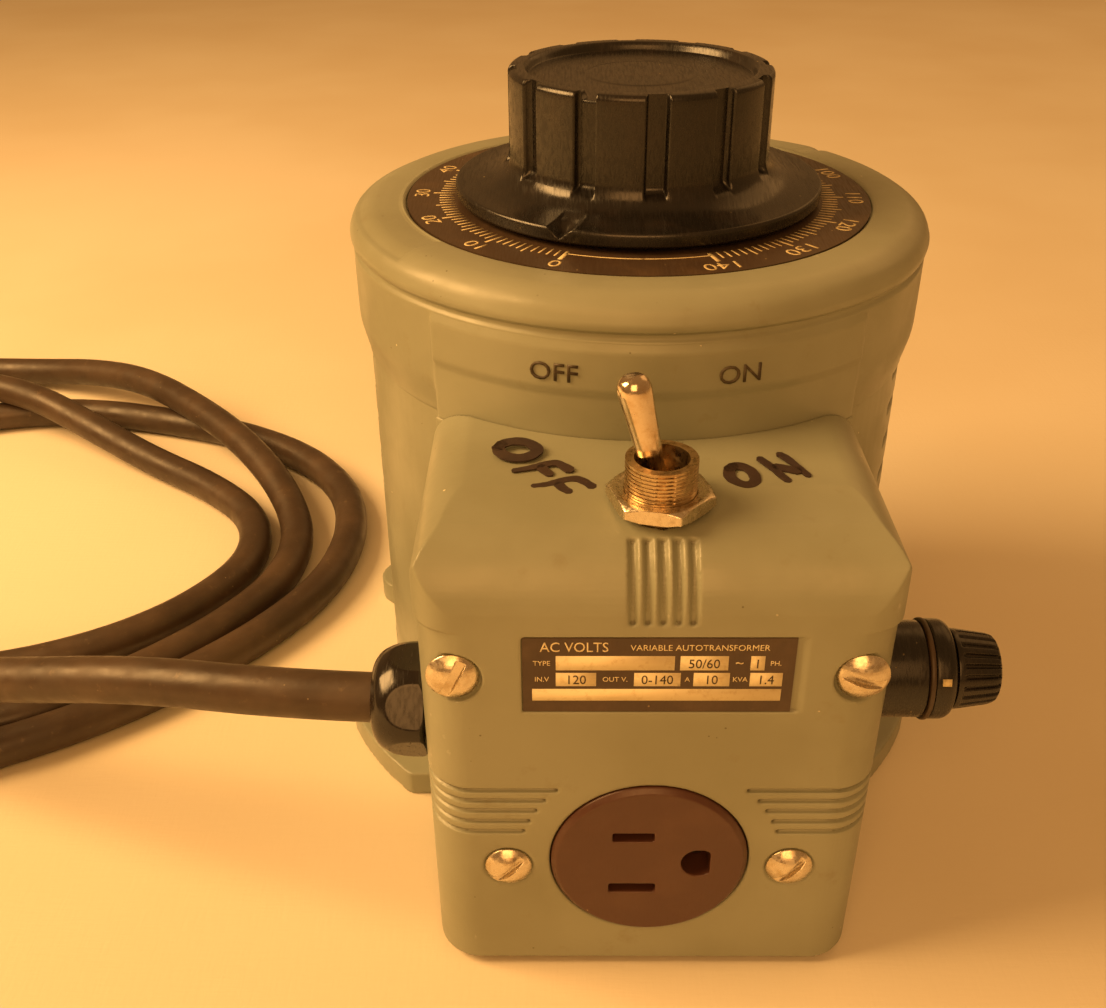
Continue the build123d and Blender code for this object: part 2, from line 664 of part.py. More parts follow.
# ---------------------------------------------------------------- toggle switch
def at_switch(shape):
    return Pos(SWITCH_X, SWITCH_Y, 0) * shape


def switch_bushing():
    tube = disc(BUSHING_R, 85.0, BUSHING_TOP) + block(-14, 14, -8.2, 8.2, 83.6, 85.2)
    for step in range(8):
        height = 96.9 + THREAD_PITCH * step
        tube = tube - ring(BUSHING_R + 1, BUSHING_R - 0.32, height, height + THREAD_PITCH / 2)
    tube = tube - disc(4.55, 80, BUSHING_TOP + 1)
    seat = ring(4.7, 3.75, 91.6, 92.6)
    return at_switch(tube + seat)


def lever_pin():
    return at_switch(rod_y(0.7, -4.5, 4.5, 0, LEVER_PIVOT_Z))


def switch_nut():
    low = top_height(SWITCH_Y) + 0.85
    nut = hexagon(15.9, low, low + 2.5, 17.0)
    nut = nut & (Pos(0, 0, low) * Cone(10.6, 8.0, 4.0, align=BASE))
    return at_switch(nut - disc(BUSHING_R + FIT, 80, 110))


def switch_washer():
    low = top_height(SWITCH_Y) - BOX_WALL - 2.7
    return at_switch(ring(8.0, BUSHING_R + FIT, low, low + 0.6))


def switch_body():
    body = block(-14, 14, -8.2, 8.2, 65.0, 83.55)
    body = fillet(body.edges().filter_by(Axis.Z), 1.5)
    body = body - block(-9, 9, -4.5, 4.5, 76.0, 84.0)
    return at_switch(body)


def switch_terminals():
    tabs = []
    for x in (-10.0, 0.0):
        tabs.append(at_switch(block(x - 2.4, x + 2.4, -0.5, 0.5, 58.0, 64.95)))
    return tabs


def toggle_lever():
    profile = [
        (0.0, LEVER_TOP), (1.6, LEVER_TOP - 0.5), (2.5, LEVER_TOP - 1.6), (2.8, LEVER_TOP - 3.1),
        (2.6, LEVER_TOP - 5.5), (1.95, 6.0), (1.95, 3.0), (2.9, 1.6), (3.3, 0.0), (2.9, -1.6),
        (1.6, -3.2), (1.4, -9.5), (0.9, -10.4), (0.0, -10.6),
    ]
    lever = turned(profile) - rod_y(0.75, -6, 6, 0, 0)
    return at_switch(Pos(0, 0, LEVER_PIVOT_Z) * Rot(0, -LEVER_TILT, 0) * lever)


# ---------------------------------------------------------------- fuse holder
def fuse_axis(shape):
    """Put a shape turned about Z onto the fuse holder's axis, +Z becoming +X."""
    return Pos(0, FUSE_Y, FUSE_Z) * Rot(0, 90, 0) * shape


def fuse_holder_nut():
    return fuse_axis(ring(8.8, 6.4, SIDE_FACE, 49.1))


def fuse_gasket():
    return fuse_axis(ring(9.3, 6.4, 49.15, 50.15))


def fuse_holder_body():
    body = turned([
        (6.3, 8.0), (6.3, FUSE_FLANGE_LOW), (9.1, FUSE_FLANGE_LOW), (9.1, FUSE_FLANGE_TOP - 1.4),
        (8.6, FUSE_FLANGE_TOP - 0.4), (7.6, FUSE_FLANGE_TOP), (5.6, FUSE_FLANGE_TOP),
        (5.6, 26.0), (3.5, 26.0), (3.5, 12.0), (0.0, 12.0), (0.0, 8.0),
    ])
    mark = block(8.9, 10, -0.4, 0.4, 51.0, 53.0)
    return fuse_axis(body - Rot(0, 0, 180) * mark)


def fuse_cap():
    cap = turned([
        (0.0, FUSE_CAP_TOP), (5.3, FUSE_CAP_TOP), (6.1, FUSE_CAP_TOP - 0.6),
        (6.5, FUSE_CAP_TOP - 1.5), (7.35, FUSE_CAP_LOW), (5.5, FUSE_CAP_LOW),
        (5.5, 40.0), (3.5, 40.0), (3.5, 46.5), (0.0, 46.5),
    ])
    for step in range(20):
        x, y = polar(7.7, 18.0 * step)
        cap = cap - rod_z(0.75, FUSE_CAP_LOW + 1.1, FUSE_CAP_TOP + 1, x, y)
    return fuse_axis(cap)


def fuse_glass():
    return fuse_axis(ring(2.95, 2.3, 13.5 + 6.1, 45.3 - 6.1))


def fuse_end_caps():
    return [fuse_axis(disc(3.2, 13.5, 19.5)), fuse_axis(disc(3.2, 39.3, 45.3))]


def fuse_terminals():
    tail = fuse_axis(block(-0.5, 0.5, -2.5, 2.5, 1.0, 7.95))
    side = block(22.0, 28.0, FUSE_Y - 0.5, FUSE_Y + 0.5, FUSE_Z - 11.0, FUSE_Z - 6.35)
    return [tail, side]


# ---------------------------------------------------------------- cord gland and cord
def gland_axis(shape):
    """Put a shape turned about Z onto the gland's axis, +Z becoming -X."""
    return Pos(0, GLAND_Y, GLAND_Z) * Rot(0, -90, 0) * shape


def cord_gland():
    outer = turned([
        (5.0, SIDE_FACE), (10.6, SIDE_FACE), (10.6, 44.0), (10.1, 46.6), (8.9, 48.8),
        (7.2, GLAND_TOP - 0.4), (6.0, GLAND_TOP), (5.0, GLAND_TOP),
    ])
    flats = hexagon(20.0, SIDE_FACE, GLAND_TOP + 1, 10.0)
    return gland_axis(outer & (flats + disc(9.9, SIDE_FACE, GLAND_TOP + 1)))


def gland_body():
    return gland_axis(ring(7.0, 5.0, 31.5, SIDE_FACE - FIT))


def gland_lock_nut():
    nut = hexagon(18.5, 33.1, 37.2) - disc(7.0 + FIT, 20, 60)
    return gland_axis(nut)


def gland_grommet():
    return gland_axis(ring(4.95, 2.2, 32.0, 43.4))


def cord_tube(points, name, bend_factor=0.45):
    """Straight runs joined by tangent arcs, as large as each pair of runs allows."""
    vectors = [Vector(*point) for point in points]
    radii = []
    for before, here, after in zip(vectors, vectors[1:], vectors[2:]):
        first = here - before
        second = after - here
        turn = math.radians(first.get_angle(second))
        shorter = min(first.length, second.length)
        radii.append(bend_factor * shorter / math.tan(turn / 2))
    path = FilletPolyline(*points, radius=radii)
    start = Plane(origin=path @ 0, z_dir=path % 0)
    tube = sweep(start * Circle(CORD_R), path=path)
    section = math.pi * CORD_R ** 2
    print(name, "length", round(path.length, 1), "volume ratio",
          round(tube.volume / (section * path.length), 4),
          "radii", [round(radius, 1) for radius in radii])
    return tube


def power_cord_coil():
    outer = Pos(*HANK_CENTRE) * Ellipse(*HANK_REACH)
    hole = Pos(*HANK_HOLE_CENTRE) * Ellipse(*HANK_HOLE_REACH)
    hank = extrude(outer - hole, HANK_TOP_Z)
    return fillet(hank.edges().group_by(Axis.Z)[-1], 6.0)


def on_plug(shape):
    """Put a shape made along +X from the origin where the plug lies."""
    return Pos(*PLUG_PLACE) * Rot(0, 0, PLUG_TURN) * shape


def plug_body():
    profile = [(0.0, 0.0), (6.6, 0.0), (7.4, 2.0), (9.0, 9.0), (12.6, 15.0), (13.3, 18.0),
               (13.3, 34.0), (12.6, 35.4), (0.0, 35.4)]
    body = Rot(0, 90, 0) * turned(profile)
    body = body & block(-1, 40, -13.4, 13.4, -12.6, 12.6)
    return on_plug(body)


def plug_blades():
    blades = []
    for y in (-6.35, 6.35):
        blade = block(35.45, 52.5, y - 0.75, y + 0.75, -6.2 + 1.0, 1.0)
        blades.append(on_plug(chamfer(blade.edges().group_by(Axis.X)[-1].filter_by(Axis.Z), 0.5)))
    return blades


def plug_ground_pin():
    pin = rod_x(2.4, 35.45, 54.5, 0, 8.0)
    return on_plug(fillet(pin.edges().sort_by(Axis.X)[-1], 1.8))


# ---------------------------------------------------------------- wiring inside
def wire(points, radius, bend):
    path = FilletPolyline(*points, radius=bend)
    start = Plane(origin=path @ 0, z_dir=path % 0)
    return sweep(start * Circle(radius), path=path)


def internal_leads():
    """Supply to switch, switch to fuse, and two leads through the drum's window."""
    return [
        wire([(-29.5, GLAND_Y, GLAND_Z), (-20.0, GLAND_Y, GLAND_Z), (-9.6, SWITCH_Y, 50.0),
              (-9.6, SWITCH_Y, 57.9)], 1.4, 3.5),
        wire([(0.4, SWITCH_Y, 57.9), (0.4, SWITCH_Y, 50.0), (0.4, -66.0, 49.0),
              (5.0, -55.0, 49.5)], 1.4, 3.5),
        wire([(25.0, -69.0, 40.5), (25.0, -66.0, 50.0), (12.0, -61.0, 52.0),
              (11.0, -54.5, 56.0)], 1.4, 2.5),
    ]


# ---------------------------------------------------------------- write every node
def main():
    pieces = {
        "base_plate": [base_plate()],
        "case_drum": [case_drum()],
        "case_top": [case_top()],
        "base_screws": base_screws(),
        "cap_screws": cap_screws(),
        "dial_plate": [dial_plate()],
        "toroid_core": [toroid_core()],
        "winding": [winding()],
        "commutator_track": [commutator_track()],
        "lower_insulator": [lower_insulator()],
        "core_clamp_plate": [core_clamp_plate()],
        "core_clamp_studs": core_clamp_studs(),
        "shaft": [shaft()],
        "lower_bearing": [lower_bearing()],
        "upper_bearing": [upper_bearing()],
        "thrust_collar": [thrust_collar()],
        "collar_screw": [collar_screw()],
        "brush_arm": [brush_arm()],
        "brush_holder": [brush_holder()],
        "carbon_brush": [carbon_brush()],
        "brush_spring": [brush_spring()],
        "stop_block": [stop_block()],
        "stop_arm": [stop_arm()],
        "knob": [knob()],
        "knob_set_screw": [knob_set_screw()],
        "terminal_cover": [terminal_cover()],
        "cover_screws": cover_screws(),
        "cover_brackets": cover_brackets(),
        "nameplate": [nameplate()],
        "outlet_face": [outlet_face()],
        "outlet_body": [outlet_body()],
        "outlet_contacts": outlet_contacts(),
        "outlet_strap": [outlet_strap()],
        "outlet_screws": outlet_screws(),
        "outlet_terminal_screws": outlet_terminal_screws(),
        "switch_bushing": [switch_bushing()],
        "switch_nut": [switch_nut()],
        "switch_washer": [switch_washer()],
        "switch_body": [switch_body()],
        "switch_terminals": switch_terminals(),
        "toggle_lever": [toggle_lever()],
        "lever_pin": [lever_pin()],
        "fuse_holder_body": [fuse_holder_body()],
        "fuse_holder_nut": [fuse_holder_nut()],
        "fuse_gasket": [fuse_gasket()],
        "fuse_cap": [fuse_cap()],
        "fuse_glass": [fuse_glass()],
        "fuse_end_caps": fuse_end_caps(),
        "fuse_terminals": fuse_terminals(),
        "cord_gland": [cord_gland()],
        "gland_body": [gland_body()],
        "gland_lock_nut": [gland_lock_nut()],
        "gland_grommet": [gland_grommet()],
        "power_cord": [cord_tube(LEAD_POINTS, "lead")],
        "power_cord_coil": [power_cord_coil()],
        "power_cord_tail": [cord_tube(TAIL_POINTS, "tail")],
        "plug_body": [plug_body()],
        "plug_blades": plug_blades(),
        "plug_ground_pin": [plug_ground_pin()],
        "internal_leads": internal_leads(),
    }
    for name, solids in pieces.items():
        save(name, *solids)


main()
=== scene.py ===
import math

import bmesh
import bpy
from mathutils import Matrix, Vector, noise


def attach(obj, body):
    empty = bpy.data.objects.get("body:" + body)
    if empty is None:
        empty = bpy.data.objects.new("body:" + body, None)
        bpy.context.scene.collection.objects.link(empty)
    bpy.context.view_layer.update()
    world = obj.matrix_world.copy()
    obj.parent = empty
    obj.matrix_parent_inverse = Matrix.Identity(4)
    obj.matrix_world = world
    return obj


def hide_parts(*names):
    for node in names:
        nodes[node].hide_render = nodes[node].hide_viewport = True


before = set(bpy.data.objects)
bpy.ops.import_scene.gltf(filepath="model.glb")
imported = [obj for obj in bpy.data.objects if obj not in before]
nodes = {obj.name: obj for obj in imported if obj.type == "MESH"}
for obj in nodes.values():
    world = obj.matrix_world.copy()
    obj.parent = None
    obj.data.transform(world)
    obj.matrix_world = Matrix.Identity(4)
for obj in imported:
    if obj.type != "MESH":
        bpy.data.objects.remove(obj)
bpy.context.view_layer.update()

MM = 0.001
FULL_TURN = 2 * math.pi

# ------------------------------------------------------------------ sizes, in millimetres
# Most repeat the driving dimensions of the CAD part. PANEL_STEP is 0.8 higher than the
# CAD's, where the panel's step is on the object.
BOX_FRONT = -96.4
TOP_AT_SWITCH = 93.5
TOP_SLOPE = 0.085
SWITCH_X, SWITCH_Y = 0.4, -81.0
BUSHING_R, BUSHING_TOP = 5.95, 102.4
THREAD_PITCH = 0.68
LEVER_PIVOT_Z, LEVER_TILT, LEVER_TOP = 95.0, 14.0, 22.4
DRUM_R = 57.2
BAND_R, CAP_R = 59.2, 59.8
PANEL_R, SADDLE_R = 60.0, 59.5
PANEL_HALF_ANGLE = 42.0
PANEL_STEP, PANEL_TOP = 102.8, 111.5
DIAL_Z, DIAL_R = 120.3, 47.6
KNOB_TOP = 146.1
KNOB_GRIP_R, KNOB_GRIP_LOW, KNOB_SKIRT_R = 26.4, 128.0, 37.5
POINTER_ANGLE = -115.7
FUSE_Y, FUSE_Z = -76.0, 55.6
GLAND_Y, GLAND_Z = -77.0, 49.2
CORD_R = 4.65
PLATE_HALF, PLATE_HIGH = 22.3, 77.9
PLATE_FACE = BOX_FRONT + 0.2


def top_height(y):
    """Height of the terminal box's sloping top."""
    return TOP_AT_SWITCH + TOP_SLOPE * (y - SWITCH_Y)


# ------------------------------------------------------------------ materials
def linear(red, green, blue):
    """A colour given as display values from 0 to 255, as Blender's linear colour."""
    parts = [channel / 255 for channel in (red, green, blue)]
    parts = [c / 12.92 if c <= 0.04045 else ((c + 0.055) / 1.055) ** 2.4 for c in parts]
    return (*parts, 1.0)


class Look:
    """A procedural material: the Principled shader and the nodes that feed it."""

    def __init__(self, name, colour, roughness, metallic=0.0, **sockets):
        self.material = bpy.data.materials.new(name)
        self.material.use_nodes = True
        self.tree = self.material.node_tree
        self.shader = self.tree.nodes["Principled BSDF"]
        self.shader.inputs["Base Color"].default_value = colour
        self.shader.inputs["Roughness"].default_value = roughness
        self.shader.inputs["Metallic"].default_value = metallic
        for socket, value in sockets.items():
            self.shader.inputs[socket.replace("_", " ")].default_value = value
        self.coords = self.tree.nodes.new("ShaderNodeTexCoord").outputs["Object"]
        self.normal = None

    def feed(self, socket, value):
        if isinstance(value, bpy.types.NodeSocket):
            self.tree.links.new(value, socket)
        else:
            socket.default_value = value

    def noise(self, size, detail=2.0, stretch=(1, 1, 1), seed=0.0, roughness=0.5):
        """Noise whose blobs are about `size` millimetres across."""
        place = self.tree.nodes.new("ShaderNodeMapping")
        place.inputs["Scale"].default_value = [1000 / size / s for s in stretch]
        place.inputs["Location"].default_value = (seed, seed * 0.7, seed * 1.3)
        self.tree.links.new(self.coords, place.inputs["Vector"])
        node = self.tree.nodes.new("ShaderNodeTexNoise")
        node.inputs["Scale"].default_value = 1.0
        node.inputs["Detail"].default_value = detail
        node.inputs["Roughness"].default_value = roughness
        self.tree.links.new(place.outputs["Vector"], node.inputs["Vector"])
        return node.outputs["Fac"]

    def cells(self, size):
        """Distance to scattered points about `size` millimetres apart."""
        node = self.tree.nodes.new("ShaderNodeTexVoronoi")
        node.inputs["Scale"].default_value = 1000 / size
        self.tree.links.new(self.coords, node.inputs["Vector"])
        return node.outputs["Distance"]

    def pointiness(self):
        return self.tree.nodes.new("ShaderNodeNewGeometry").outputs["Pointiness"]

    def span(self, source, low, high, out_low=0.0, out_high=1.0):
        node = self.tree.nodes.new("ShaderNodeMapRange")
        node.interpolation_type = "SMOOTHSTEP"
        self.feed(node.inputs["Value"], source)
        for socket, value in (("From Min", low), ("From Max", high),
                              ("To Min", out_low), ("To Max", out_high)):
            node.inputs[socket].default_value = value
        return node.outputs["Result"]

    def maths(self, operation, first, second):
        node = self.tree.nodes.new("ShaderNodeMath")
        node.operation = operation
        self.feed(node.inputs[0], first)
        self.feed(node.inputs[1], second)
        return node.outputs["Value"]

    def mix(self, factor, first, second):
        node = self.tree.nodes.new("ShaderNodeMix")
        node.data_type = "RGBA"
        self.feed(node.inputs["Factor"], factor)
        self.feed(node.inputs[6], first)
        self.feed(node.inputs[7], second)
        return node.outputs[2]

    def bump(self, height, depth, strength=1.0):
        """Relief `depth` millimetres deep, on top of the relief already there."""
        node = self.tree.nodes.new("ShaderNodeBump")
        node.inputs["Strength"].default_value = strength
        node.inputs["Distance"].default_value = depth * MM
        self.tree.links.new(height, node.inputs["Height"])
        if self.normal:
            self.tree.links.new(self.normal, node.inputs["Normal"])
        self.normal = node.outputs["Normal"]
        self.feed(self.shader.inputs["Normal"], self.normal)

    def set(self, socket, value):
        self.feed(self.shader.inputs[socket], value)


def paint_look():
    """Thick grey-green enamel on a casting, a little stained, with worn edges and dust, and
    painted shade in grooves.
    """
    body = linear(146, 150, 132)
    look = Look("case_enamel", body, 0.4, Specular_IOR_Level=0.5)
    stain = look.span(look.noise(34, 3, seed=3), 0.35, 0.7)
    shade = look.mix(stain, body, linear(136, 139, 119))
    blotch = look.span(look.noise(7, 4, seed=9, roughness=0.65), 0.6, 0.78, 0, 0.45)
    shade = look.mix(blotch, shade, linear(128, 124, 100))
    edge = look.span(look.pointiness(), 0.535, 0.60)
    rub = look.span(look.noise(2.2, 4, seed=5), 0.5, 0.62)
    worn = look.maths("MULTIPLY", edge, rub)
    shade = look.mix(look.maths("MULTIPLY", worn, 0.55), shade, linear(176, 176, 162))
    # painted shade: concave places such as grooves and recesses are darkened towards dark brown
    groove = look.span(look.pointiness(), 0.44, 0.485, 0.65, 0.0)
    shade = look.mix(groove, shade, linear(74, 66, 48))
    speck_spot = look.span(look.cells(5.5), 0.035, 0.055, 1.0, 0.0)
    speck_some = look.span(look.noise(11, 2, seed=21), 0.54, 0.6)
    speck = look.maths("MULTIPLY", speck_spot, speck_some)
    shade = look.mix(speck, shade, linear(222, 216, 190))
    fleck_spot = look.span(look.cells(3.4), 0.04, 0.07, 0.75, 0.0)
    fleck_some = look.span(look.noise(16, 2, seed=41), 0.57, 0.63)
    shade = look.mix(look.maths("MULTIPLY", fleck_spot, fleck_some), shade, linear(84, 76, 58))
    look.set("Base Color", shade)
    look.set("Roughness", look.span(look.noise(12, 4, seed=13), 0.3, 0.75, 0.30, 0.5))
    look.bump(look.noise(7, 2, seed=2), 0.10)
    look.bump(look.noise(1.3, 3, seed=7), 0.022)
    look.bump(speck, 0.12)
    return look.material


def black_plastic_look(name, colour, haze, roughness=0.3):
    """Moulded phenolic: glossy, with a brown haze of handling and dust in the corners."""
    look = Look(name, colour, roughness, Specular_IOR_Level=0.55)
    film = look.span(look.noise(9, 4, seed=17, roughness=0.6), 0.42, 0.75, 0, 0.5)
    shade = look.mix(film, colour, haze)
    dust_spot = look.span(look.cells(2.6), 0.05, 0.09, 1.0, 0.0)
    dust_some = look.span(look.noise(8, 2, seed=33), 0.56, 0.64)
    dust = look.maths("MULTIPLY", dust_spot, dust_some)
    shade = look.mix(look.maths("MULTIPLY", dust, 0.7), shade, linear(170, 150, 112))
    look.set("Base Color", shade)
    scratch = look.noise(1.6, 5, stretch=(0.25, 3.0, 1), seed=29)
    look.set("Roughness", look.span(scratch, 0.35, 0.75, roughness - 0.06, roughness + 0.14))
    look.bump(look.noise(2.4, 3, seed=4), 0.012)
    look.bump(dust, 0.06)
    return look.material


def metal_look(name, colour, tarnish, roughness, grain=1.0, stretch=(1, 1, 1)):
    """Plated metal with brown tarnish in its corners and fine handling marks."""
    look = Look(name, colour, roughness, metallic=1.0)
    patch = look.span(look.noise(3.0, 4, seed=12, roughness=0.7), 0.45, 0.72, 0, 0.7)
    shade = look.mix(patch, colour, tarnish)
    hollow = look.span(look.pointiness(), 0.42, 0.49, 0.8, 0.0)
    shade = look.mix(hollow, shade, linear(86, 66, 40))
    look.set("Base Color", shade)
    marks = look.noise(0.8 * grain, 4, stretch=stretch, seed=15)
    look.set("Roughness", look.span(marks, 0.3, 0.75, roughness - 0.06, roughness + 0.16))
    look.bump(marks, 0.008)
    return look.material


def rubber_look(name="cord_rubber", tone=(62, 50, 40)):
    """Old black rubber: satin, browned, with dust and a faint lengthwise drag."""
    base = linear(*tone)
    look = Look(name, base, 0.42, Specular_IOR_Level=0.45)
    bloom = look.span(look.noise(16, 4, seed=6, roughness=0.6), 0.35, 0.72)
    shade = look.mix(bloom, base, linear(80, 65, 52))
    scuff = look.span(look.noise(2.8, 5, seed=18, roughness=0.7), 0.6, 0.72, 0, 0.55)
    shade = look.mix(scuff, shade, linear(104, 88, 68))
    dust_spot = look.span(look.cells(3.2), 0.04, 0.07, 1.0, 0.0)
    dust_some = look.span(look.noise(14, 2, seed=25), 0.52, 0.6)
    dust = look.maths("MULTIPLY", dust_spot, dust_some)
    shade = look.mix(look.maths("MULTIPLY", dust, 0.7), shade, linear(150, 134, 104))
    look.set("Base Color", shade)
    look.set("Roughness", look.span(look.noise(5, 4, seed=8), 0.3, 0.7, 0.33, 0.52))
    look.bump(look.noise(1.1, 3, seed=11), 0.03)
    look.bump(look.noise(9, 2, seed=10), 0.12)
    return look.material


def print_look(name, tone, worn_tone):
    """Printed or brushed-on ink that has thinned in places."""
    look = Look(name, linear(*tone), 0.55)
    thin = look.span(look.noise(1.4, 4, seed=19, roughness=0.7), 0.5, 0.7, 0, 0.7)
    broad = look.span(look.noise(9, 3, seed=23), 0.4, 0.7, 0, 0.5)
    shade = look.mix(look.maths("MAXIMUM", thin, broad), linear(*tone), linear(*worn_tone))
    look.set("Base Color", shade)
    look.set("Roughness", look.span(look.noise(2, 3, seed=31), 0.3, 0.7, 0.45, 0.7))
    look.bump(look.noise(0.9, 3, seed=14), 0.01)
    return look.material


def grained_look(name, tone, other, size, roughness, metallic=0.0, stretch=(1, 1, 1)):
    """A plain working material with grain: laminated steel, fibre board, wire, carbon."""
    look = Look(name, linear(*tone), roughness, metallic=metallic)
    grain = look.noise(size, 4, stretch=stretch, seed=27, roughness=0.6)
    look.set("Base Color", look.mix(look.span(grain, 0.35, 0.7), linear(*tone), linear(*other)))
    look.set("Roughness", look.span(grain, 0.3, 0.7, roughness - 0.08, roughness + 0.12))
    look.bump(grain, 0.03)
    return look.material


def winding_look():
    """Enamelled copper wire lying side by side round the core."""
    look = Look("copper_turns", linear(150, 74, 34), 0.35, metallic=0.8)
    shade = look.mix(look.span(look.noise(6, 3, seed=2), 0.3, 0.7),
                     linear(150, 74, 34), linear(104, 46, 22))
    look.set("Base Color", shade)
    radial = look.tree.nodes.new("ShaderNodeTexGradient")
    radial.gradient_type = "RADIAL"
    look.tree.links.new(look.coords, radial.inputs["Vector"])
    turns = look.maths("MULTIPLY", radial.outputs["Fac"], 290.0)
    look.bump(look.maths("PINGPONG", turns, 0.5), 0.5)
    return look.material


def cloth_floor_look():
    look = Look("pale_cloth", linear(235, 228, 210), 0.9, Specular_IOR_Level=0.15)
    tone = look.span(look.noise(160, 3, seed=40), 0.3, 0.7)
    look.set("Base Color", look.mix(tone, linear(235, 228, 210), linear(229, 219, 197)))
    weave = look.maths("ADD", look.noise(0.9, 2, stretch=(1, 6, 1), seed=1),
                       look.noise(0.9, 2, stretch=(6, 1, 1), seed=2))
    look.bump(weave, 0.05)
    return look.material


PAINT = paint_look()
BLACK = black_plastic_look("black_phenolic", linear(22, 20, 19), linear(42, 34, 28), 0.26)
GLAND_BLACK = black_plastic_look("gland_nylon", linear(25, 21, 19), linear(44, 34, 27), 0.18)
BROWN = black_plastic_look("outlet_brown", linear(78, 48, 38), linear(92, 62, 48), 0.34)
DIAL_BLACK = black_plastic_look("dial_enamel", linear(66, 52, 40), linear(92, 72, 52), 0.4)
PLATE_DARK = black_plastic_look("plate_ink", linear(68, 53, 41), linear(94, 75, 56), 0.42)
NICKEL = metal_look("plated_steel", linear(222, 212, 192), linear(186, 166, 130), 0.24)
TURNED_NICKEL = metal_look("turned_nickel", linear(198, 178, 142), linear(146, 112, 70), 0.3)
CHROME = metal_look("lever_chrome", linear(222, 208, 186), linear(196, 168, 128), 0.12)
STEEL = metal_look("dull_steel", linear(150, 146, 138), linear(110, 98, 80), 0.42)
BRASS = metal_look("brass_parts", linear(196, 160, 92), linear(150, 112, 56), 0.32)
BRONZE = metal_look("bronze_bearing", linear(168, 120, 70), linear(120, 80, 44), 0.4)
RUBBER = rubber_look()
CREAM = print_look("cream_print", (222, 206, 160), (150, 124, 82))
FIELD = print_look("plate_field", (226, 214, 176), (206, 186, 138))
INK = print_look("field_ink", (58, 46, 36), (92, 74, 54))
MARKER = print_look("marker_ink", (48, 36, 36), (70, 54, 44))
LETTER = print_look("letter_paint", (58, 48, 36), (104, 94, 70))
LAMINATION = grained_look("core_steel", (92, 88, 84), (64, 60, 56), 0.6, 0.45, 0.9, (6, 6, 1))
FIBRE = grained_look("fibre_board", (150, 108, 70), (120, 80, 50), 0.8, 0.75)
CARBON = grained_look("carbon_block", (38, 38, 40), (56, 56, 58), 0.5, 0.5)
ALLOY = grained_look("arm_alloy", (150, 150, 146), (120, 118, 112), 1.2, 0.4, 0.9)
LEAD_SKIN = grained_look("lead_skin", (60, 44, 34), (84, 64, 50), 2.0, 0.5)
GLASS_TUBE = grained_look("fuse_tube", (196, 206, 204), (176, 184, 180), 2.0, 0.1)
COPPER = winding_look()


# ------------------------------------------------------------------ mesh helpers
def add_piece(name, mesh, material, body, stands_for=()):
    """Puts a mesh in the scene as a piece that rides on a CAD body."""
    piece = bpy.data.objects.new(name, mesh)
    bpy.context.scene.collection.objects.link(piece)
    mesh.materials.clear()
    mesh.materials.append(material)
    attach(piece, body)
    if stands_for:
        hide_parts(*stands_for)
    return piece


def mesh_of(work, name):
    """Closes a bmesh: joins doubles, faces everything outwards, shades it smooth."""
    bmesh.ops.remove_doubles(work, verts=work.verts, dist=0.002 * MM)
    bmesh.ops.dissolve_degenerate(work, edges=work.edges, dist=0.001 * MM)
    bmesh.ops.recalc_face_normals(work, faces=work.faces)
    mesh = bpy.data.meshes.new(name)
    work.to_mesh(mesh)
    work.free()
    mesh.shade_smooth()
    return mesh


CORNER_STEPS = 4
WAVE_SIZE = 9.0                  # of the unevenness of a casting


def soften(points, radius, closed):
    """Rounds each corner of a profile. A third number in a point is its own radius."""
    line = []
    count = len(points)
    for index, point in enumerate(points):
        here = Vector(point[:2])
        if not closed and index in (0, count - 1):
            line.append(here)
            continue
        before = Vector(points[index - 1][:2]) - here
        after = Vector(points[(index + 1) % count][:2]) - here
        own = point[2] if len(point) > 2 else radius
        cut = min(own, before.length * 0.48, after.length * 0.48)
        start = here + before.normalized() * cut
        end = here + after.normalized() * cut
        for step in range(CORNER_STEPS + 1):
            t = step / CORNER_STEPS
            line.append(start.lerp(here, t).lerp(here.lerp(end, t), t))
    return line


def subdivide(line, longest, closed):
    """Adds points so that no run of a profile is longer than `longest`."""
    fine = []
    last = len(line) if closed else len(line) - 1
    for index in range(last):
        here, after = line[index], line[(index + 1) % len(line)]
        steps = max(1, math.ceil((after - here).length / longest))
        fine += [here.lerp(after, step / steps) for step in range(steps)]
    return fine if closed else fine + [line[-1]]


def lathe(name, profile, place=None, turns=128, radius=0.25, bend=None, longest=None):
    """Turns a profile of (radius, height) points about Z, in millimetres, and moves it to
    `place`. bend(angle, radius, height) may push each point in or out."""
    closed = profile[0][0] > 0 or profile[-1][0] > 0
    line = soften(profile, radius, closed)
    if longest:
        line = subdivide(line, longest, closed)
    matrix = Matrix.Scale(MM, 4) @ (place or Matrix())
    work = bmesh.new()
    rows = []
    for turn in range(turns):
        angle = FULL_TURN * turn / turns
        row = []
        for r, z in line:
            if bend:
                r, z = bend(angle, r, z)
            spot = Vector((r * math.cos(angle), r * math.sin(angle), z))
            row.append(work.verts.new(matrix @ spot))
        rows.append(row)
    span = len(line) if closed else len(line) - 1
    for turn in range(turns):
        here, after = rows[turn], rows[(turn + 1) % turns]
        for k in range(span):
            j = (k + 1) % len(line)
            work.faces.new((here[k], after[k], after[j], here[j]))
    return mesh_of(work, name)


def towards(direction, origin):
    """Carries +Z onto a direction and the origin onto a point, in millimetres."""
    turn = Vector((0, 0, 1)).rotation_difference(Vector(direction)).to_matrix().to_4x4()
    return Matrix.Translation(origin) @ turn


def smooth_step(value, low, high):
    t = min(1.0, max(0.0, (value - low) / (high - low)))
    return t * t * (3 - 2 * t)


def angle_from(angle, middle):
    """The difference between two angles in radians, from -pi to pi."""
    return (angle - middle + math.pi) % FULL_TURN - math.pi


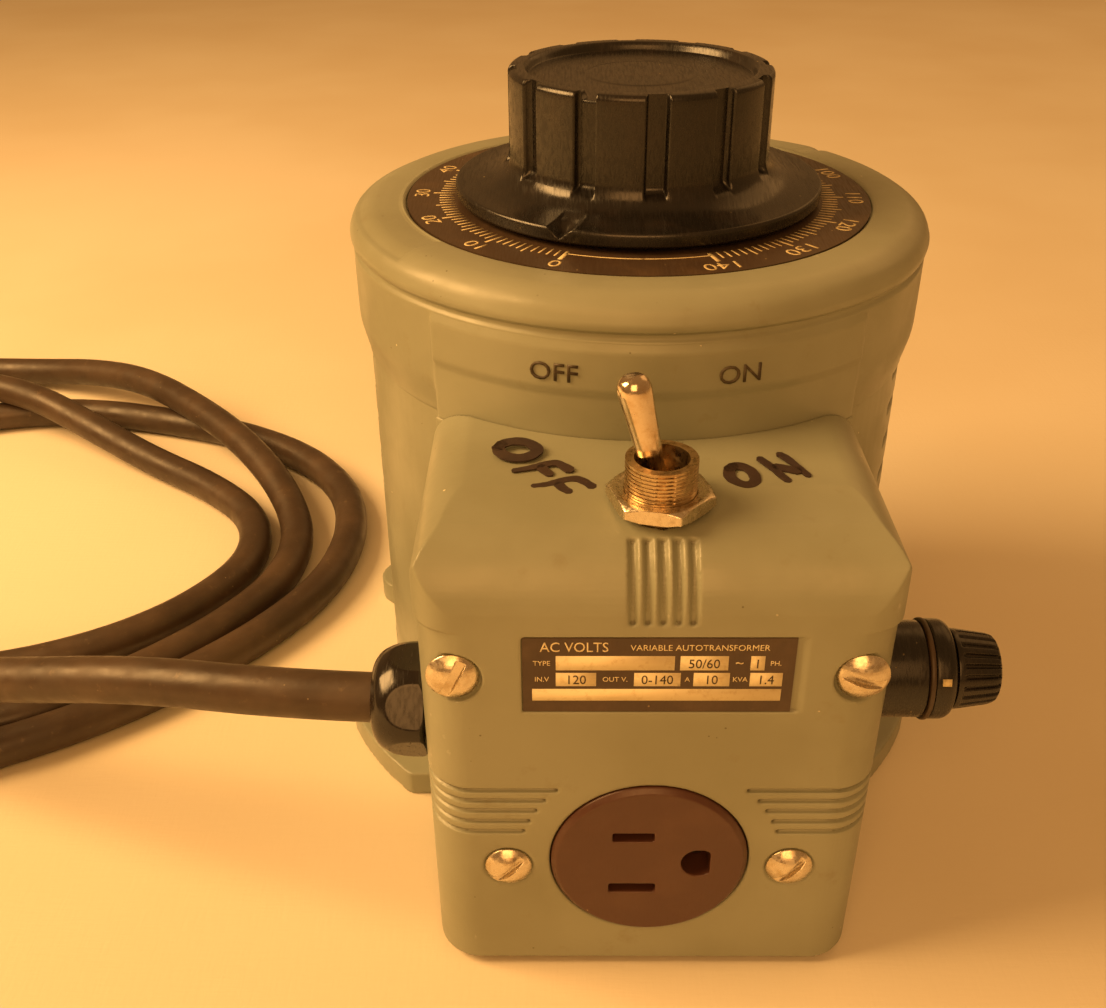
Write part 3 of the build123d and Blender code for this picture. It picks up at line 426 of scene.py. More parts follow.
def cast_copy(node, name, material, body, voxel, smoothing=3, most=150000, wave=0.0):
    """A cast or moulded copy of a CAD node: its corners are rounded off by remeshing."""
    mesh = nodes[node].data.copy()
    work = bmesh.new()
    work.from_mesh(mesh)
    bmesh.ops.remove_doubles(work, verts=work.verts, dist=0.001 * MM)
    work.to_mesh(mesh)
    work.free()
    rough = bpy.data.objects.new(name + "_rough", mesh)
    bpy.context.scene.collection.objects.link(rough)
    remesh = rough.modifiers.new("remesh", "REMESH")
    remesh.mode = "VOXEL"
    remesh.voxel_size = voxel * MM
    soft = rough.modifiers.new("soft", "SMOOTH")
    soft.factor = 0.5
    soft.iterations = smoothing
    made = bpy.data.meshes.new_from_object(
        rough.evaluated_get(bpy.context.evaluated_depsgraph_get()))
    if len(made.polygons) * 2 > most:
        dense = bpy.data.objects.new(name + "_dense", made)
        bpy.context.scene.collection.objects.link(dense)
        thin = dense.modifiers.new("thin", "DECIMATE")
        thin.ratio = most / (len(made.polygons) * 2)
        lighter = bpy.data.meshes.new_from_object(
            dense.evaluated_get(bpy.context.evaluated_depsgraph_get()))
        bpy.data.objects.remove(dense)
        made = lighter
    bpy.data.objects.remove(rough)
    if wave:
        normals = [vertex.normal.copy() for vertex in made.vertices]
        for vertex, normal in zip(made.vertices, normals):
            push = noise.noise(vertex.co * 1000 / WAVE_SIZE) * wave * MM
            vertex.co -= normal * abs(push)
    made.name = name
    made.shade_smooth()
    return add_piece(name, made, material, body, (node,))


# ------------------------------------------------------------------ camera, floor, light
def make_camera():
    """Where the photographer stood: in front, above, looking down 31 degrees."""
    data = bpy.data.cameras.new("camera")
    data.sensor_width = 36.0
    data.lens = 40.676
    data.clip_start = 0.01
    camera = bpy.data.objects.new("camera", data)
    turn = (Matrix.Rotation(math.radians(0.47), 4, "Z")
            @ Matrix.Rotation(math.radians(90 - 31.12), 4, "X")
            @ Matrix.Rotation(math.radians(-0.27), 4, "Z"))
    camera.matrix_world = Matrix.Translation((-0.0157, -0.2563, 0.1995)) @ turn
    bpy.context.scene.collection.objects.link(camera)
    bpy.context.scene.camera = camera


def make_floor():
    work = bmesh.new()
    bmesh.ops.create_grid(work, x_segments=8, y_segments=8, size=3.0)
    mesh = bpy.data.meshes.new("floor")
    work.to_mesh(mesh)
    work.free()
    floor = bpy.data.objects.new("floor", mesh)
    floor.location = (0, 0, -0.0001)
    mesh.materials.append(cloth_floor_look())
    bpy.context.scene.collection.objects.link(floor)


def add_light(name, spot, target, size, power, colour):
    data = bpy.data.lights.new(name, "AREA")
    data.size = size
    data.energy = power
    data.color = colour
    light = bpy.data.objects.new(name, data)
    direction = Vector(target) - Vector(spot)
    light.location = spot
    light.rotation_euler = direction.to_track_quat("-Z", "Y").to_euler()
    bpy.context.scene.collection.objects.link(light)


def make_lights():
    add_light("key", (-0.65, -0.08, 0.60), (0, 0, 0.06), 0.45, 10.5, (1.0, 0.55, 0.19))
    add_light("front", (-0.10, -1.2, 0.85), (0, 0, 0.06), 0.9, 9.0, (1.0, 0.47, 0.14))
    add_light("rim", (0.7, 0.7, 0.8), (0, 0, 0.06), 0.8, 1.5, (1.0, 0.50, 0.16))
    world = bpy.data.worlds.new("studio")
    bpy.context.scene.world = world
    world.use_nodes = True
    sky = world.node_tree.nodes["Background"]
    sky.inputs["Color"].default_value = (1.0, 0.47, 0.14, 1)
    sky.inputs["Strength"].default_value = 0.36
    bpy.context.scene.view_settings.view_transform = "Standard"


# ------------------------------------------------------------------ supply cord
LEAD_POINTS = [
    (-44.0, GLAND_Y, GLAND_Z), (-66.0, -76.4, 49.6), (-98.0, -67.5, 46.2),
    (-130.0, -57.4, 37.4), (-163.0, -45.5, 29.0), (-197.0, -29.0, 23.0), (-228.0, -5.0, 17.0),
]
TAIL_POINTS = [
    (-147.0, -43.0, CORD_R), (-172.0, -54.5, CORD_R), (-203.0, -60.6, CORD_R + 0.4),
    (-232.0, -61.0, 8.4), (-259.0, -57.6, 13.0),
]
LOW = CORD_R
# The coil's turns, in order along the cord. Where one passes over another it rises.
OUTER_TURN = [
    (-253, 26, 14.6), (-272, 60, 14.4), (-286, 94, 14.4), (-284, 128, 9), (-262, 152, LOW),
    (-233, 162, LOW), (-206, 159, 5.5), (-180, 148, 10.5), (-157, 132, 14.3),
    (-136, 112, 14.5), (-117, 92, 13.4), (-101, 71, 9.5), (-91, 49, 5.2), (-92, 26, LOW),
    (-103, 5, LOW), (-120, -14, LOW), (-141, -30, LOW), (-167, -38, LOW),
]
INNER_TURN = [
    (-196, -43, LOW), (-229, -39, LOW), (-261, -22, LOW), (-285, 8, LOW), (-294, 44, LOW),
    (-290, 80, LOW), (-274, 112, LOW), (-248, 131, 8), (-220, 132, 14.2), (-194, 122, 14.4),
    (-170, 107, 10), (-147, 93, 5), (-124, 77, LOW), (-106, 58, LOW), (-102, 35, LOW),
    (-113, 13, LOW), (-132, -4, LOW), (-158, -15, LOW),
]
LAST_TURN = [
    (-188, -17, LOW), (-219, -12, LOW), (-247, 5, LOW), (-264, 32, LOW), (-266, 64, LOW),
    (-254, 94, LOW), (-232, 116, LOW), (-204, 127, LOW), (-176, 128, LOW), (-148, 121, LOW),
    (-121, 111, LOW), (-97, 95, LOW), (-81, 73, LOW), (-76, 48, LOW), (-80, 23, LOW),
    (-92, 2, LOW), (-107, -15, LOW), (-126, -31, LOW),
]


def make_cord():
    route = LEAD_POINTS + OUTER_TURN + INNER_TURN + LAST_TURN + TAIL_POINTS
    data = bpy.data.curves.new("supply_cord", "CURVE")
    data.dimensions = "3D"
    data.bevel_depth = CORD_R * MM
    data.bevel_resolution = 8
    data.resolution_u = 10
    data.use_fill_caps = True
    spline = data.splines.new("NURBS")
    spline.points.add(len(route) - 1)
    for point, (x, y, z) in zip(spline.points, route):
        point.co = (x * MM, y * MM, z * MM, 1.0)
    spline.order_u = 3
    spline.use_endpoint_u = True
    data.materials.append(RUBBER)
    cord = bpy.data.objects.new("supply_cord", data)
    bpy.context.scene.collection.objects.link(cord)
    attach(cord, "case")
    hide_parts("power_cord", "power_cord_coil", "power_cord_tail")
    return cord


# ------------------------------------------------------------------ castings
def raise_panel(angle, r, z):
    """The casting's skirt bulges into a flat-topped panel behind the terminal box."""
    if r < DRUM_R + 0.2 or z > PANEL_TOP + 1.2:
        return r, z
    off = abs(angle_from(angle, -math.pi / 2)) * r
    edge = math.radians(PANEL_HALF_ANGLE) * r
    inside = 1 - smooth_step(off, edge - 0.7, edge + 0.3)
    level = SADDLE_R + (PANEL_R - SADDLE_R) * smooth_step(z, PANEL_STEP - 0.35, PANEL_STEP + 0.15)
    top = 1 - smooth_step(z, PANEL_TOP - 0.5, PANEL_TOP + 0.5)
    target = max(r, level)
    return r + (target - r) * inside * top, z


def cap_relief(angle, r, z):
    """The panel, slight unevenness of the casting, and a dent at the right rear."""
    r, z = raise_panel(angle, r, z)
    spot = Vector((r * math.cos(angle), r * math.sin(angle), z))
    if r > DIAL_R + 1.2:
        r += 0.06 * noise.noise(spot / 11.0) - 0.06
        dent = math.radians(38)
        near = abs(angle_from(angle, dent)) * r
        if z > 116:
            z -= 0.55 * math.exp(-(near / 1.3) ** 2)
            z -= 0.35 * smooth_step(angle_from(angle, dent), 0, 0.3) * (r < 58)
    return r, z


def make_castings():
    profile = [
        (DRUM_R + 0.06, 91.2, 0.2), (DRUM_R + 0.35, 91.15, 0.2), (DRUM_R + 0.55, 92.6, 0.6),
        (BAND_R - 0.1, 98.0, 1.5), (BAND_R, 112.4, 0.35), (BAND_R - 0.65, 113.0, 0.4),
        (BAND_R - 0.65, 113.9, 0.4), (CAP_R - 0.25, 114.4, 0.35), (CAP_R, 115.6, 0.8),
        (CAP_R - 1.0, 118.3, 1.6), (CAP_R - 4.2, 120.4, 2.0), (CAP_R - 8.4, 120.6, 1.0),
        (DIAL_R + 0.9, 120.5, 0.4), (DIAL_R + 0.3, 120.1, 0.2), (DIAL_R + 0.3, 119.5, 0.05),
        (8.1, 119.5, 0.05), (8.1, 104.0, 0.3), (13.0, 104.0, 0.3), (13.0, 115.5, 1.0),
        (DRUM_R - 3, 115.5, 2.0), (DRUM_R - 1.2, 112.0, 1.0), (DRUM_R - 1.2, 97.0, 0.2),
        (DRUM_R + 0.06, 97.0, 0.2),
    ]
    steps = 720
    mesh = lathe("top_casting", profile, turns=steps, bend=cap_relief, longest=0.9)
    add_piece("top_casting", mesh, PAINT, "case", ["case_top"])
    cast_copy("terminal_cover", "terminal_box", PAINT, "case", 0.26, 2, 190000, 0.04)
    cast_copy("case_drum", "drum_shell", PAINT, "case", 0.40, 2, 180000, 0.04)
    cast_copy("base_plate", "cast_base", PAINT, "case", 0.45, 3, 120000, 0.06)


# ------------------------------------------------------------------ knob and dial
NOTCHES = 12
NOTCH_START = math.radians(-86)
NOTCH_HALF = 0.077
NOTCH_DEPTH = 1.75
INDEX_R, INDEX_LOW = 22.0, KNOB_TOP - 1.6    # of the notch through the grip's rim
INDEX_HALF, INDEX_EDGE = 1.5, 1.9
GROOVE_HALF, GROOVE_DEEP = 2.8, 2.3          # of the pointer groove, on the skirt
GROOVE_TOP = 124.4


def knob_notches(angle, r, z):
    """Straight-sided notches in the grip, running out in a ramp above the skirt."""
    if r < KNOB_GRIP_R - 3.4 or z < KNOB_GRIP_LOW - 2.6:
        return r, z
    pitch = FULL_TURN / NOTCHES
    off = (angle - NOTCH_START + pitch / 2) % pitch - pitch / 2
    cut = 1 - smooth_step(abs(off), NOTCH_HALF - 0.008, NOTCH_HALF + 0.008)
    cut *= smooth_step(z, KNOB_GRIP_LOW - 1.2, KNOB_GRIP_LOW + 0.8)
    floor_r = KNOB_GRIP_R - NOTCH_DEPTH
    if r > floor_r:
        r += (floor_r - r) * cut
    return r, z


def knob_cuts(angle, r, z):
    """The notches, the index notch through the rim, and a V groove in the skirt below it."""
    r, z = knob_notches(angle, r, z)
    off = abs(angle_from(angle, math.radians(POINTER_ANGLE)))
    if r > INDEX_R and z > INDEX_LOW:
        inside = 1 - smooth_step(off * KNOB_GRIP_R, INDEX_HALF, INDEX_EDGE)
        z += (INDEX_LOW - z) * inside
    across = off * KNOB_SKIRT_R
    if r > 31.0 and z > 121.9 and across < GROOVE_HALF:
        deep = GROOVE_DEEP * (1 - across / GROOVE_HALF) * smooth_step(r, 31.5, 35.5)
        z = min(z, GROOVE_TOP - deep)
    return r, z


def make_knob():
    grip, top = KNOB_GRIP_R, KNOB_TOP
    profile = [
        (0, top - 1.50), (10.6, top - 1.50, 0.3), (11.2, top - 1.62, 0.3), (22.2, top - 1.6, 0.25),
        (22.75, top - 0.5, 0.3), (23.2, top, 0.25), (grip - 0.6, top, 0.35),
        (grip, top - 0.7, 0.5), (grip, KNOB_GRIP_LOW + 0.9, 1.2), (grip + 0.9, 126.9, 1.4),
        (30.0, 125.1, 2.4), (34.0, 124.35, 2.0), (37.2, 124.25, 0.3), (KNOB_SKIRT_R, 123.8, 0.3),
        (KNOB_SKIRT_R, 121.9, 0.3), (37.1, 121.45, 0.3), (35.0, 121.45, 0.2), (34.8, 122.4, 0.3),
        (28.0, 123.0, 1.0), (21.5, 125.0, 1.0), (21.5, 141.0, 1.0), (9.5, 141.0, 0.5),
        (9.5, 121.45, 0.3), (4.85, 121.45, 0.2), (4.85, 140.85, 0.1), (0, 140.85),
    ]
    mesh = lathe("knob_body", profile, turns=720, bend=knob_cuts, longest=1.1)
    add_piece("knob_body", mesh, BLACK, "rotor", ["knob"])


def lettering(text, height, depth):
    """Flat letters, centred on the origin, standing on the line y = 0, in millimetres."""
    data = bpy.data.curves.new("words", "FONT")
    data.body = text
    data.size = height / 0.73
    data.extrude = depth / 2
    data.align_x = "CENTER"
    data.resolution_u = 3
    words = bpy.data.objects.new("words", data)
    bpy.context.scene.collection.objects.link(words)
    mesh = bpy.data.meshes.new_from_object(
        words.evaluated_get(bpy.context.evaluated_depsgraph_get()))
    bpy.data.objects.remove(words)
    bpy.data.curves.remove(data)
    return mesh


def stamp(work, mesh, where):
    """Adds a mesh to a bmesh with every point moved by `where`, and drops the mesh."""
    start = len(work.verts)
    work.from_mesh(mesh)
    work.verts.ensure_lookup_table()
    for vertex in work.verts[start:]:
        vertex.co = Vector(where(vertex.co)) * MM
    bpy.data.meshes.remove(mesh)


def slab(work, corners, where):
    """Adds a thin block: four (u, v) corners, from depth 0 to 1, moved by `where`."""
    low = [work.verts.new(Vector(where(Vector((u, v, 0)))) * MM) for u, v in corners]
    high = [work.verts.new(Vector(where(Vector((u, v, 1)))) * MM) for u, v in corners]
    work.faces.new(low[::-1])
    work.faces.new(high)
    for k in range(len(corners)):
        j = (k + 1) % len(corners)
        work.faces.new((low[k], low[j], high[j], high[k]))


ZERO_ANGLE, DIAL_SPAN, DIAL_VOLTS = -112.3, 320.3, 140
PRINT_DEEP = 0.05


def make_dial_print():
    """A tick for each volt and a number each ten, read from outside, tops outwards."""
    work = bmesh.new()
    for volts in range(DIAL_VOLTS + 1):
        angle = math.radians(ZERO_ANGLE - DIAL_SPAN * volts / DIAL_VOLTS)
        outward = Vector((math.cos(angle), math.sin(angle), 0))
        across = Vector((math.sin(angle), -math.cos(angle), 0))

        def place(spot, outward=outward, across=across):
            return (outward * spot.y + across * spot.x
                    + Vector((0, 0, DIAL_Z - 0.02 + PRINT_DEEP * spot.z)))

        long = 42.4 if volts % 10 == 0 else 41.9 if volts % 5 == 0 else 41.0
        half = 0.42 if volts in (0, DIAL_VOLTS) else 0.24 if volts % 10 == 0 else 0.17
        slab(work, [(-half, 37.9), (half, 37.9), (half, long), (-half, long)], place)
        if volts % 10 == 0:
            number = lettering(str(volts), 3.3, 1.0)

            def set_number(spot, place=place):
                return place(Vector((spot.x * 1.15, spot.y + 43.1, spot.z + 0.5)))

            stamp(work, number, set_number)
    gap_low = math.radians(ZERO_ANGLE)
    gap_high = math.radians(ZERO_ANGLE + 360 - DIAL_SPAN)
    steps = 40
    for step in range(steps):
        first = gap_low + (gap_high - gap_low) * step / steps
        second = gap_low + (gap_high - gap_low) * (step + 1) / steps
        corners = [(first, 39.0), (second, 39.0), (second, 39.28), (first, 39.28)]
        slab(work, corners, lambda s: (s.y * math.cos(s.x), s.y * math.sin(s.x),
                                       DIAL_Z - 0.02 + PRINT_DEEP * s.z))
    add_piece("dial_print", mesh_of(work, "dial_print"), CREAM, "case")


def make_panel_letters():
    """OFF and ON, raised on the panel behind the switch and filled with dark paint."""
    work = bmesh.new()
    for text, x, z in (("OFF", -17.4, 104.8), ("ON", 15.7, 104.65)):
        def place(spot, x=x, z=z):
            angle = -math.pi / 2 + (spot.x * 1.08 + x) / PANEL_R
            r = PANEL_R - 0.12 + spot.z
            return r * math.cos(angle), r * math.sin(angle), z + spot.y

        stamp(work, lettering(text, 3.5, 0.7), place)
    add_piece("panel_letters", mesh_of(work, "panel_letters"), LETTER, "case")


MARKER_STROKES = [
    ([(-27.0, -64.3), (-26.1, -62.5), (-23.8, -61.7), (-21.3, -62.3), (-19.6, -64.6),
      (-21.2, -66.8), (-23.7, -67.3), (-25.9, -66.3), (-27.0, -64.3), (-26.1, -62.5)], 1.05, 1.05),
    ([(-23.9, -71.0), (-21.1, -70.2), (-18.7, -69.1), (-16.6, -68.5), (-15.5, -69.5),
      (-14.3, -70.8)], 0.5, 0.95),
    ([(-19.2, -70.0), (-18.4, -71.2), (-17.6, -72.2)], 1.0, 0.6),
    ([(-20.5, -75.6), (-18.0, -75.2), (-15.9, -74.0), (-13.5, -73.3), (-12.2, -74.0),
      (-10.6, -75.8)], 0.55, 0.9),
    ([(-16.2, -75.2), (-15.5, -76.4), (-14.4, -77.3)], 1.0, 0.7),
    ([(12.7, -70.8), (13.8, -69.5), (15.3, -69.7), (16.8, -71.3), (17.1, -74.2), (15.7, -75.5),
      (14.1, -75.0), (12.7, -73.3), (12.7, -70.8), (13.8, -69.5)], 0.95, 0.95),
    ([(18.4, -67.3), (19.4, -68.7), (20.7, -70.8), (21.5, -72.5), (22.4, -74.1)], 0.6, 0.75),
    ([(22.0, -66.0), (23.0, -67.0), (24.0, -68.7), (25.0, -70.4), (26.1, -72.6)], 0.75, 0.5),
    ([(20.8, -69.8), (22.6, -70.4), (24.6, -71.2)], 0.85, 0.9),
]
INK_LIFT = 0.035
PEN_WIDER = 1.05                 # how far the ink spread past the strokes above


def make_marker_words():
    """OFF and ON written by hand on the box with a felt pen."""
    work = bmesh.new()
    for points, first_half, last_half in MARKER_STROKES:
        line = [Vector(point) for point in points]
        for _ in range(3):
            smoother = [line[0]]
            for here, after in zip(line, line[1:]):
                smoother += [here.lerp(after, 0.25), here.lerp(after, 0.75)]
            line = smoother + [line[-1]]
        first = (line[0] - line[1]).normalized() * first_half * 0.7
        last = (line[-1] - line[-2]).normalized() * last_half * 0.7
        line = [line[0] + first] + line + [line[-1] + last]
        count = len(line) - 1
        rows = []
        for index, spot in enumerate(line):
            along = (line[min(count, index + 1)] - line[max(0, index - 1)]).normalized()
            t = index / count
            half = first_half + (last_half - first_half) * t
            half *= 0.35 if index in (0, count) else 1.0
            half *= PEN_WIDER
            half += 0.12 * noise.noise(Vector((spot.x, spot.y, 3.0)) * 0.9)
            aside = Vector((-along.y, along.x)) * half
            row = []
            for lift in (-0.25, INK_LIFT):
                for point in (spot + aside, spot - aside):
                    row.append(work.verts.new(
                        Vector((point.x, point.y, top_height(point.y) + lift)) * MM))
            rows.append(row)
        for (a, b, c, d), (e, f, g, h) in zip(rows, rows[1:]):
            for face in ((c, d, h, g), (a, e, f, b), (a, c, g, e), (b, f, h, d)):
                work.faces.new(face)
        for a, b, c, d in (rows[0], rows[-1]):
            work.faces.new((a, b, d, c))
    mesh = mesh_of(work, "marker_words")
    mesh.shade_flat()
    add_piece("marker_words", mesh, MARKER, "case")


# ------------------------------------------------------------------ nameplate
def on_plate(x, z, depth=0.0):
    """A point on the nameplate, measured from its upper left corner."""
    return Vector((-PLATE_HALF + x, PLATE_FACE - depth, PLATE_HIGH - z))


FIELDS = [
    (5.6, 3.75, 24.9, 6.65), (25.8, 3.75, 33.6, 6.65), (37.2, 3.75, 39.5, 6.65),
    (5.6, 7.2, 12.2, 9.95), (18.4, 7.2, 26.0, 9.95), (28.1, 7.2, 34.0, 9.95),
    (37.3, 7.2, 42.6, 9.95), (1.7, 10.55, 42.6, 13.0),
]
DARK_WORDS = [
    ("50/60", 29.7, 6.2, 1.9), ("1", 38.35, 6.2, 1.9), ("120", 8.9, 9.5, 1.9),
    ("0-140", 22.2, 9.5, 1.9), ("10", 31.0, 9.5, 1.9), ("1.4", 39.9, 9.5, 1.9),
]
PALE_WORDS = [
    ("AC VOLTS", 8.6, 2.9, 2.0), ("VARIABLE AUTOTRANSFORMER", 28.9, 2.65, 1.22),
    ("TYPE", 3.3, 5.7, 1.0),
    ("IN.V", 3.3, 9.0, 1.0), ("OUT V.", 15.3, 9.0, 1.0), ("A", 27.1, 9.0, 1.0),
    ("KVA", 35.7, 9.0, 1.0), ("PH.", 41.3, 5.7, 1.0), ("~", 35.4, 5.9, 1.9),
]
PALE_DEEP, DARK_DEEP = 0.05, 0.09
SMALL_PRINT = 1.5                # pale words lower than this are set a little wider
SMALL_STRETCH, WORD_STRETCH = 0.94, 0.88


def make_plate_print():
    pale, dark = bmesh.new(), bmesh.new()
    for left, top, right, bottom in FIELDS:
        corners = [(left, bottom), (right, bottom), (right, top), (left, top)]
        slab(pale, corners, lambda s: on_plate(s.x, s.y, -0.02 + PALE_DEEP * s.z))
    for work, words, deep in ((pale, PALE_WORDS, PALE_DEEP), (dark, DARK_WORDS, DARK_DEEP)):
        for text, x, z, height in words:
            small = height < SMALL_PRINT and work is pale
            stretch = SMALL_STRETCH if small else WORD_STRETCH

            def place(spot, x=x, z=z, deep=deep, stretch=stretch):
                depth = -0.02 + deep * (0.5 + spot.z)
                return on_plate(x + spot.x * stretch, z - spot.y, depth)

            stamp(work, lettering(text, height, 1.0), place)
    add_piece("plate_fields", mesh_of(pale, "plate_fields"), FIELD, "case")
    add_piece("plate_figures", mesh_of(dark, "plate_figures"), INK, "case")


# ------------------------------------------------------------------ toggle switch
def thread_bend(angle, r, z):
    """A helical thread on the bushing, broken by a keyway at the front."""
    if r < BUSHING_R - 0.9 or not 93.6 < z < BUSHING_TOP - 0.45:
        return r, z
    wave = abs(((z / THREAD_PITCH + angle / FULL_TURN) % 1.0) * 2 - 1)
    r -= 0.36 * smooth_step(wave, 0.25, 0.9)
    key = abs(angle_from(angle, math.radians(-88)) * BUSHING_R)
    root = BUSHING_R - 0.42
    if r > root:
        r += (root - r) * (1 - smooth_step(key, 1.2, 1.5))
    return r, z


def nut_bend(angle, r, z):
    """Six flats, 15.9 mm across, under a chamfer."""
    sixth = math.pi / 3
    off = (angle - math.radians(17) + sixth / 2) % sixth - sixth / 2
    flat = 7.95 / math.cos(off)
    return (min(r, flat), z) if r > 7.0 else (r, z)


def make_switch():
    at_switch = Matrix.Translation((SWITCH_X, SWITCH_Y, 0))
    r, top = BUSHING_R, BUSHING_TOP
    bushing = [
        (r, 86.2), (r, top - 0.5, 0.3), (r - 0.45, top, 0.2), (r - 1.0, top, 0.15),
        (r - 1.35, top - 0.5, 0.4), (4.4, 97.0, 0.8), (3.8, 92.6, 0.4), (3.8, 91.6, 0.2),
        (4.55, 91.2, 0.2), (4.55, 86.2, 0.1),
    ]
    mesh = lathe("bushing", bushing, at_switch, 144, bend=thread_bend, longest=0.085)
    add_piece("bushing", mesh, TURNED_NICKEL, "case")
    low = top_height(SWITCH_Y) + 0.83
    nut = [
        (r + 0.06, low), (8.3, low, 0.1), (9.3, low + 0.5, 0.2), (9.3, low + 1.75, 0.15),
        (8.1, low + 2.42, 0.2), (7.4, low + 2.5, 0.15), (6.9, low + 2.3, 0.2),
        (r + 0.06, low + 2.2, 0.1),
    ]
    mesh = lathe("hex_nut", nut, at_switch, 240, 0.1, nut_bend, 0.35)
    add_piece("hex_nut", mesh, NICKEL, "case", ["switch_nut"])
    tip = LEVER_TOP
    lever = [
        (0, tip), (1.9, tip, 1.5), (2.85, tip - 1.7, 1.4), (2.8, tip - 3.6, 1.4),
        (2.55, tip - 6.5, 2.0), (1.95, 5.4, 1.5), (1.95, 3.0, 1.0), (2.9, 1.5, 1.0),
        (3.3, 0.0, 1.0), (2.9, -1.6, 1.0), (1.6, -3.2, 0.6), (1.4, -9.5, 0.6), (0, -10.6),
    ]
    lean = (Matrix.Translation((SWITCH_X, SWITCH_Y, LEVER_PIVOT_Z))
            @ Matrix.Rotation(math.radians(-LEVER_TILT), 4, "Y"))
    mesh = lathe("bat_lever", lever, lean, 96, longest=0.5)
    add_piece("bat_lever", mesh, CHROME, "switch_lever", ["toggle_lever"])


# ------------------------------------------------------------------ fuse holder and gland
FUSE_RIBS = 22
FUSE_RIBS_LOW = 55.5


def rib_bend(angle, r, z):
    """Lengthwise grip ribs on the fuse cap."""
    if r < 5.7 or z < FUSE_RIBS_LOW:
        return r, z
    pitch = FULL_TURN / FUSE_RIBS
    off = abs((angle + pitch / 2) % pitch - pitch / 2) / pitch
    cut = 0.62 * (1 - smooth_step(off, 0.10, 0.26))
    cut *= smooth_step(z, FUSE_RIBS_LOW, FUSE_RIBS_LOW + 0.7)
    return r - cut, z


def make_fuse():
    along = towards((1, 0, 0), (0, FUSE_Y, FUSE_Z))
    spacer = [(6.45, 40.3), (8.8, 40.3, 0.15), (8.8, 49.0, 0.2), (6.45, 49.0)]
    mesh = lathe("fuse_spacer", spacer, along, 160, longest=1.5)
    add_piece("fuse_spacer", mesh, BLACK, "case", ["fuse_holder_nut"])
    gasket = [(6.45, 49.15, 0.2), (9.3, 49.15, 0.45), (9.3, 50.15, 0.45), (6.45, 50.15, 0.2)]
    mesh = lathe("fuse_washer", gasket, along, 160)
    add_piece("fuse_washer", mesh, RUBBER, "case", ["fuse_gasket"])
    body = [
        (0, 8.0), (6.3, 8.0, 0.4), (6.3, 50.2, 0.1), (8.9, 50.2, 0.2), (9.1, 50.6, 0.2),
        (9.1, 52.9, 0.5), (8.5, 53.9, 0.4), (7.75, 54.25, 0.2), (5.62, 54.3, 0.1),
        (5.62, 26.0, 0.1), (3.5, 26.0, 0.1), (3.5, 12.0, 0.2), (0, 12.0),
    ]
    mesh = lathe("fuse_collar", body, along, 200, longest=1.6)
    add_piece("fuse_collar", mesh, BLACK, "case", ["fuse_holder_body"])
    cap = [
        (0, 62.9), (5.3, 62.9, 0.4), (6.1, 62.5, 0.4), (6.5, 61.4, 0.7), (7.35, 55.4, 0.3),
        (7.35, 54.65, 0.2), (5.45, 54.65, 0.1), (5.45, 40.0, 0.1), (3.5, 40.0, 0.1),
        (3.5, 46.5, 0.1), (0, 46.5),
    ]
    mesh = lathe("fuse_grip", cap, along, 352, 0.2, rib_bend, 0.5)
    add_piece("fuse_grip", mesh, BLACK, "fuse_cap_body", ["fuse_cap"])
    work = bmesh.new()
    collar_r, mark = 9.08, math.radians(22)

    def place(spot):
        angle = mark + spot.y / collar_r
        r = collar_r - 0.06 + 0.14 * spot.z
        return spot.x, FUSE_Y - r * math.cos(angle), FUSE_Z + r * math.sin(angle)

    slab(work, [(51.2, -0.65), (52.8, -0.65), (52.8, 0.65), (51.2, 0.65)], place)
    add_piece("fuse_mark", mesh_of(work, "fuse_mark"), CREAM, "case")


def gland_bend(angle, r, z):
    """Wrench flats that die out towards the dome."""
    sixth = math.pi / 3
    off = (angle + sixth / 2) % sixth - sixth / 2
    flat = 9.75 / math.cos(off)
    return (min(r, flat), z) if r > 8.5 else (r, z)


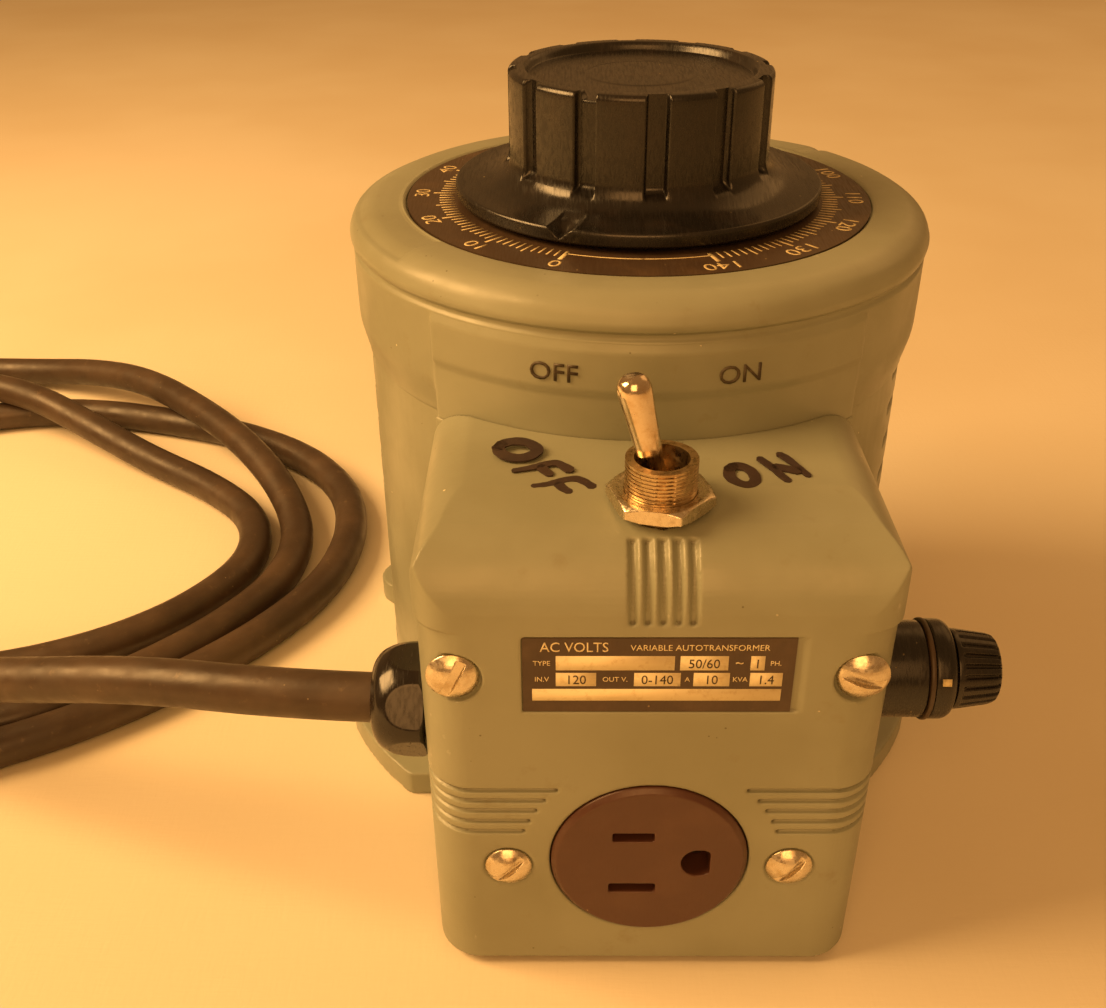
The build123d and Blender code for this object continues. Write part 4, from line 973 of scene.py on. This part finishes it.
def make_gland():
    along = towards((-1, 0, 0), (0, GLAND_Y, GLAND_Z))
    dome = [
        (5.0, 40.3), (10.0, 40.3, 0.3), (10.6, 40.9, 0.4), (10.6, 43.6, 1.2), (10.1, 46.6, 1.6),
        (8.8, 49.0, 1.5), (7.0, 50.2, 0.9), (5.6, 50.45, 0.5), (5.0, 50.0, 0.3),
    ]
    mesh = lathe("gland_dome", dome, along, 264, 0.2, gland_bend, 0.5)
    add_piece("gland_dome", mesh, GLAND_BLACK, "case", ["cord_gland"])


# ------------------------------------------------------------------ small castings
def make_small_parts():
    cast_copy("cover_screws", "cover_screw_heads", NICKEL, "case", 0.10, 2, 90000)
    cast_copy("outlet_screws", "outlet_screw_heads", NICKEL, "case", 0.10, 2, 90000)
    cast_copy("outlet_face", "outlet_front", BROWN, "case", 0.22, 2, 120000)
    cast_copy("plug_body", "plug_shell", RUBBER, "case", 0.35, 3, 60000)


KEPT_LOOKS = {
    BLACK: ["knob_set_screw"], DIAL_BLACK: ["dial_plate"], PLATE_DARK: ["nameplate"],
    TURNED_NICKEL: ["switch_bushing", "lever_pin", "cap_screws", "base_screws", "switch_washer",
                    "collar_screw", "gland_lock_nut"],
    STEEL: ["shaft", "thrust_collar", "outlet_strap", "cover_brackets", "core_clamp_studs",
            "stop_block", "stop_arm", "brush_spring"],
    BRASS: ["plug_blades", "plug_ground_pin", "outlet_contacts", "outlet_terminal_screws",
            "fuse_terminals", "switch_terminals", "brush_holder"],
    BRONZE: ["lower_bearing", "upper_bearing"], COPPER: ["winding", "commutator_track"],
    LAMINATION: ["toroid_core"], FIBRE: ["lower_insulator", "core_clamp_plate"],
    CARBON: ["carbon_brush"], ALLOY: ["brush_arm", "fuse_end_caps"],
    LEAD_SKIN: ["internal_leads", "gland_grommet"], GLASS_TUBE: ["fuse_glass"],
    BROWN: ["outlet_body"], GLAND_BLACK: ["gland_body", "switch_body"],
}


def dress_kept_nodes():
    """The CAD nodes that stay get their own procedural materials."""
    for material, names in KEPT_LOOKS.items():
        for name in names:
            for material_slot in nodes[name].material_slots:
                material_slot.material = material


make_camera()
make_floor()
make_lights()
make_castings()
make_knob()
make_dial_print()
make_panel_letters()
make_marker_words()
make_plate_print()
make_switch()
make_fuse()
make_gland()
make_small_parts()
dress_kept_nodes()
cord = make_cord()
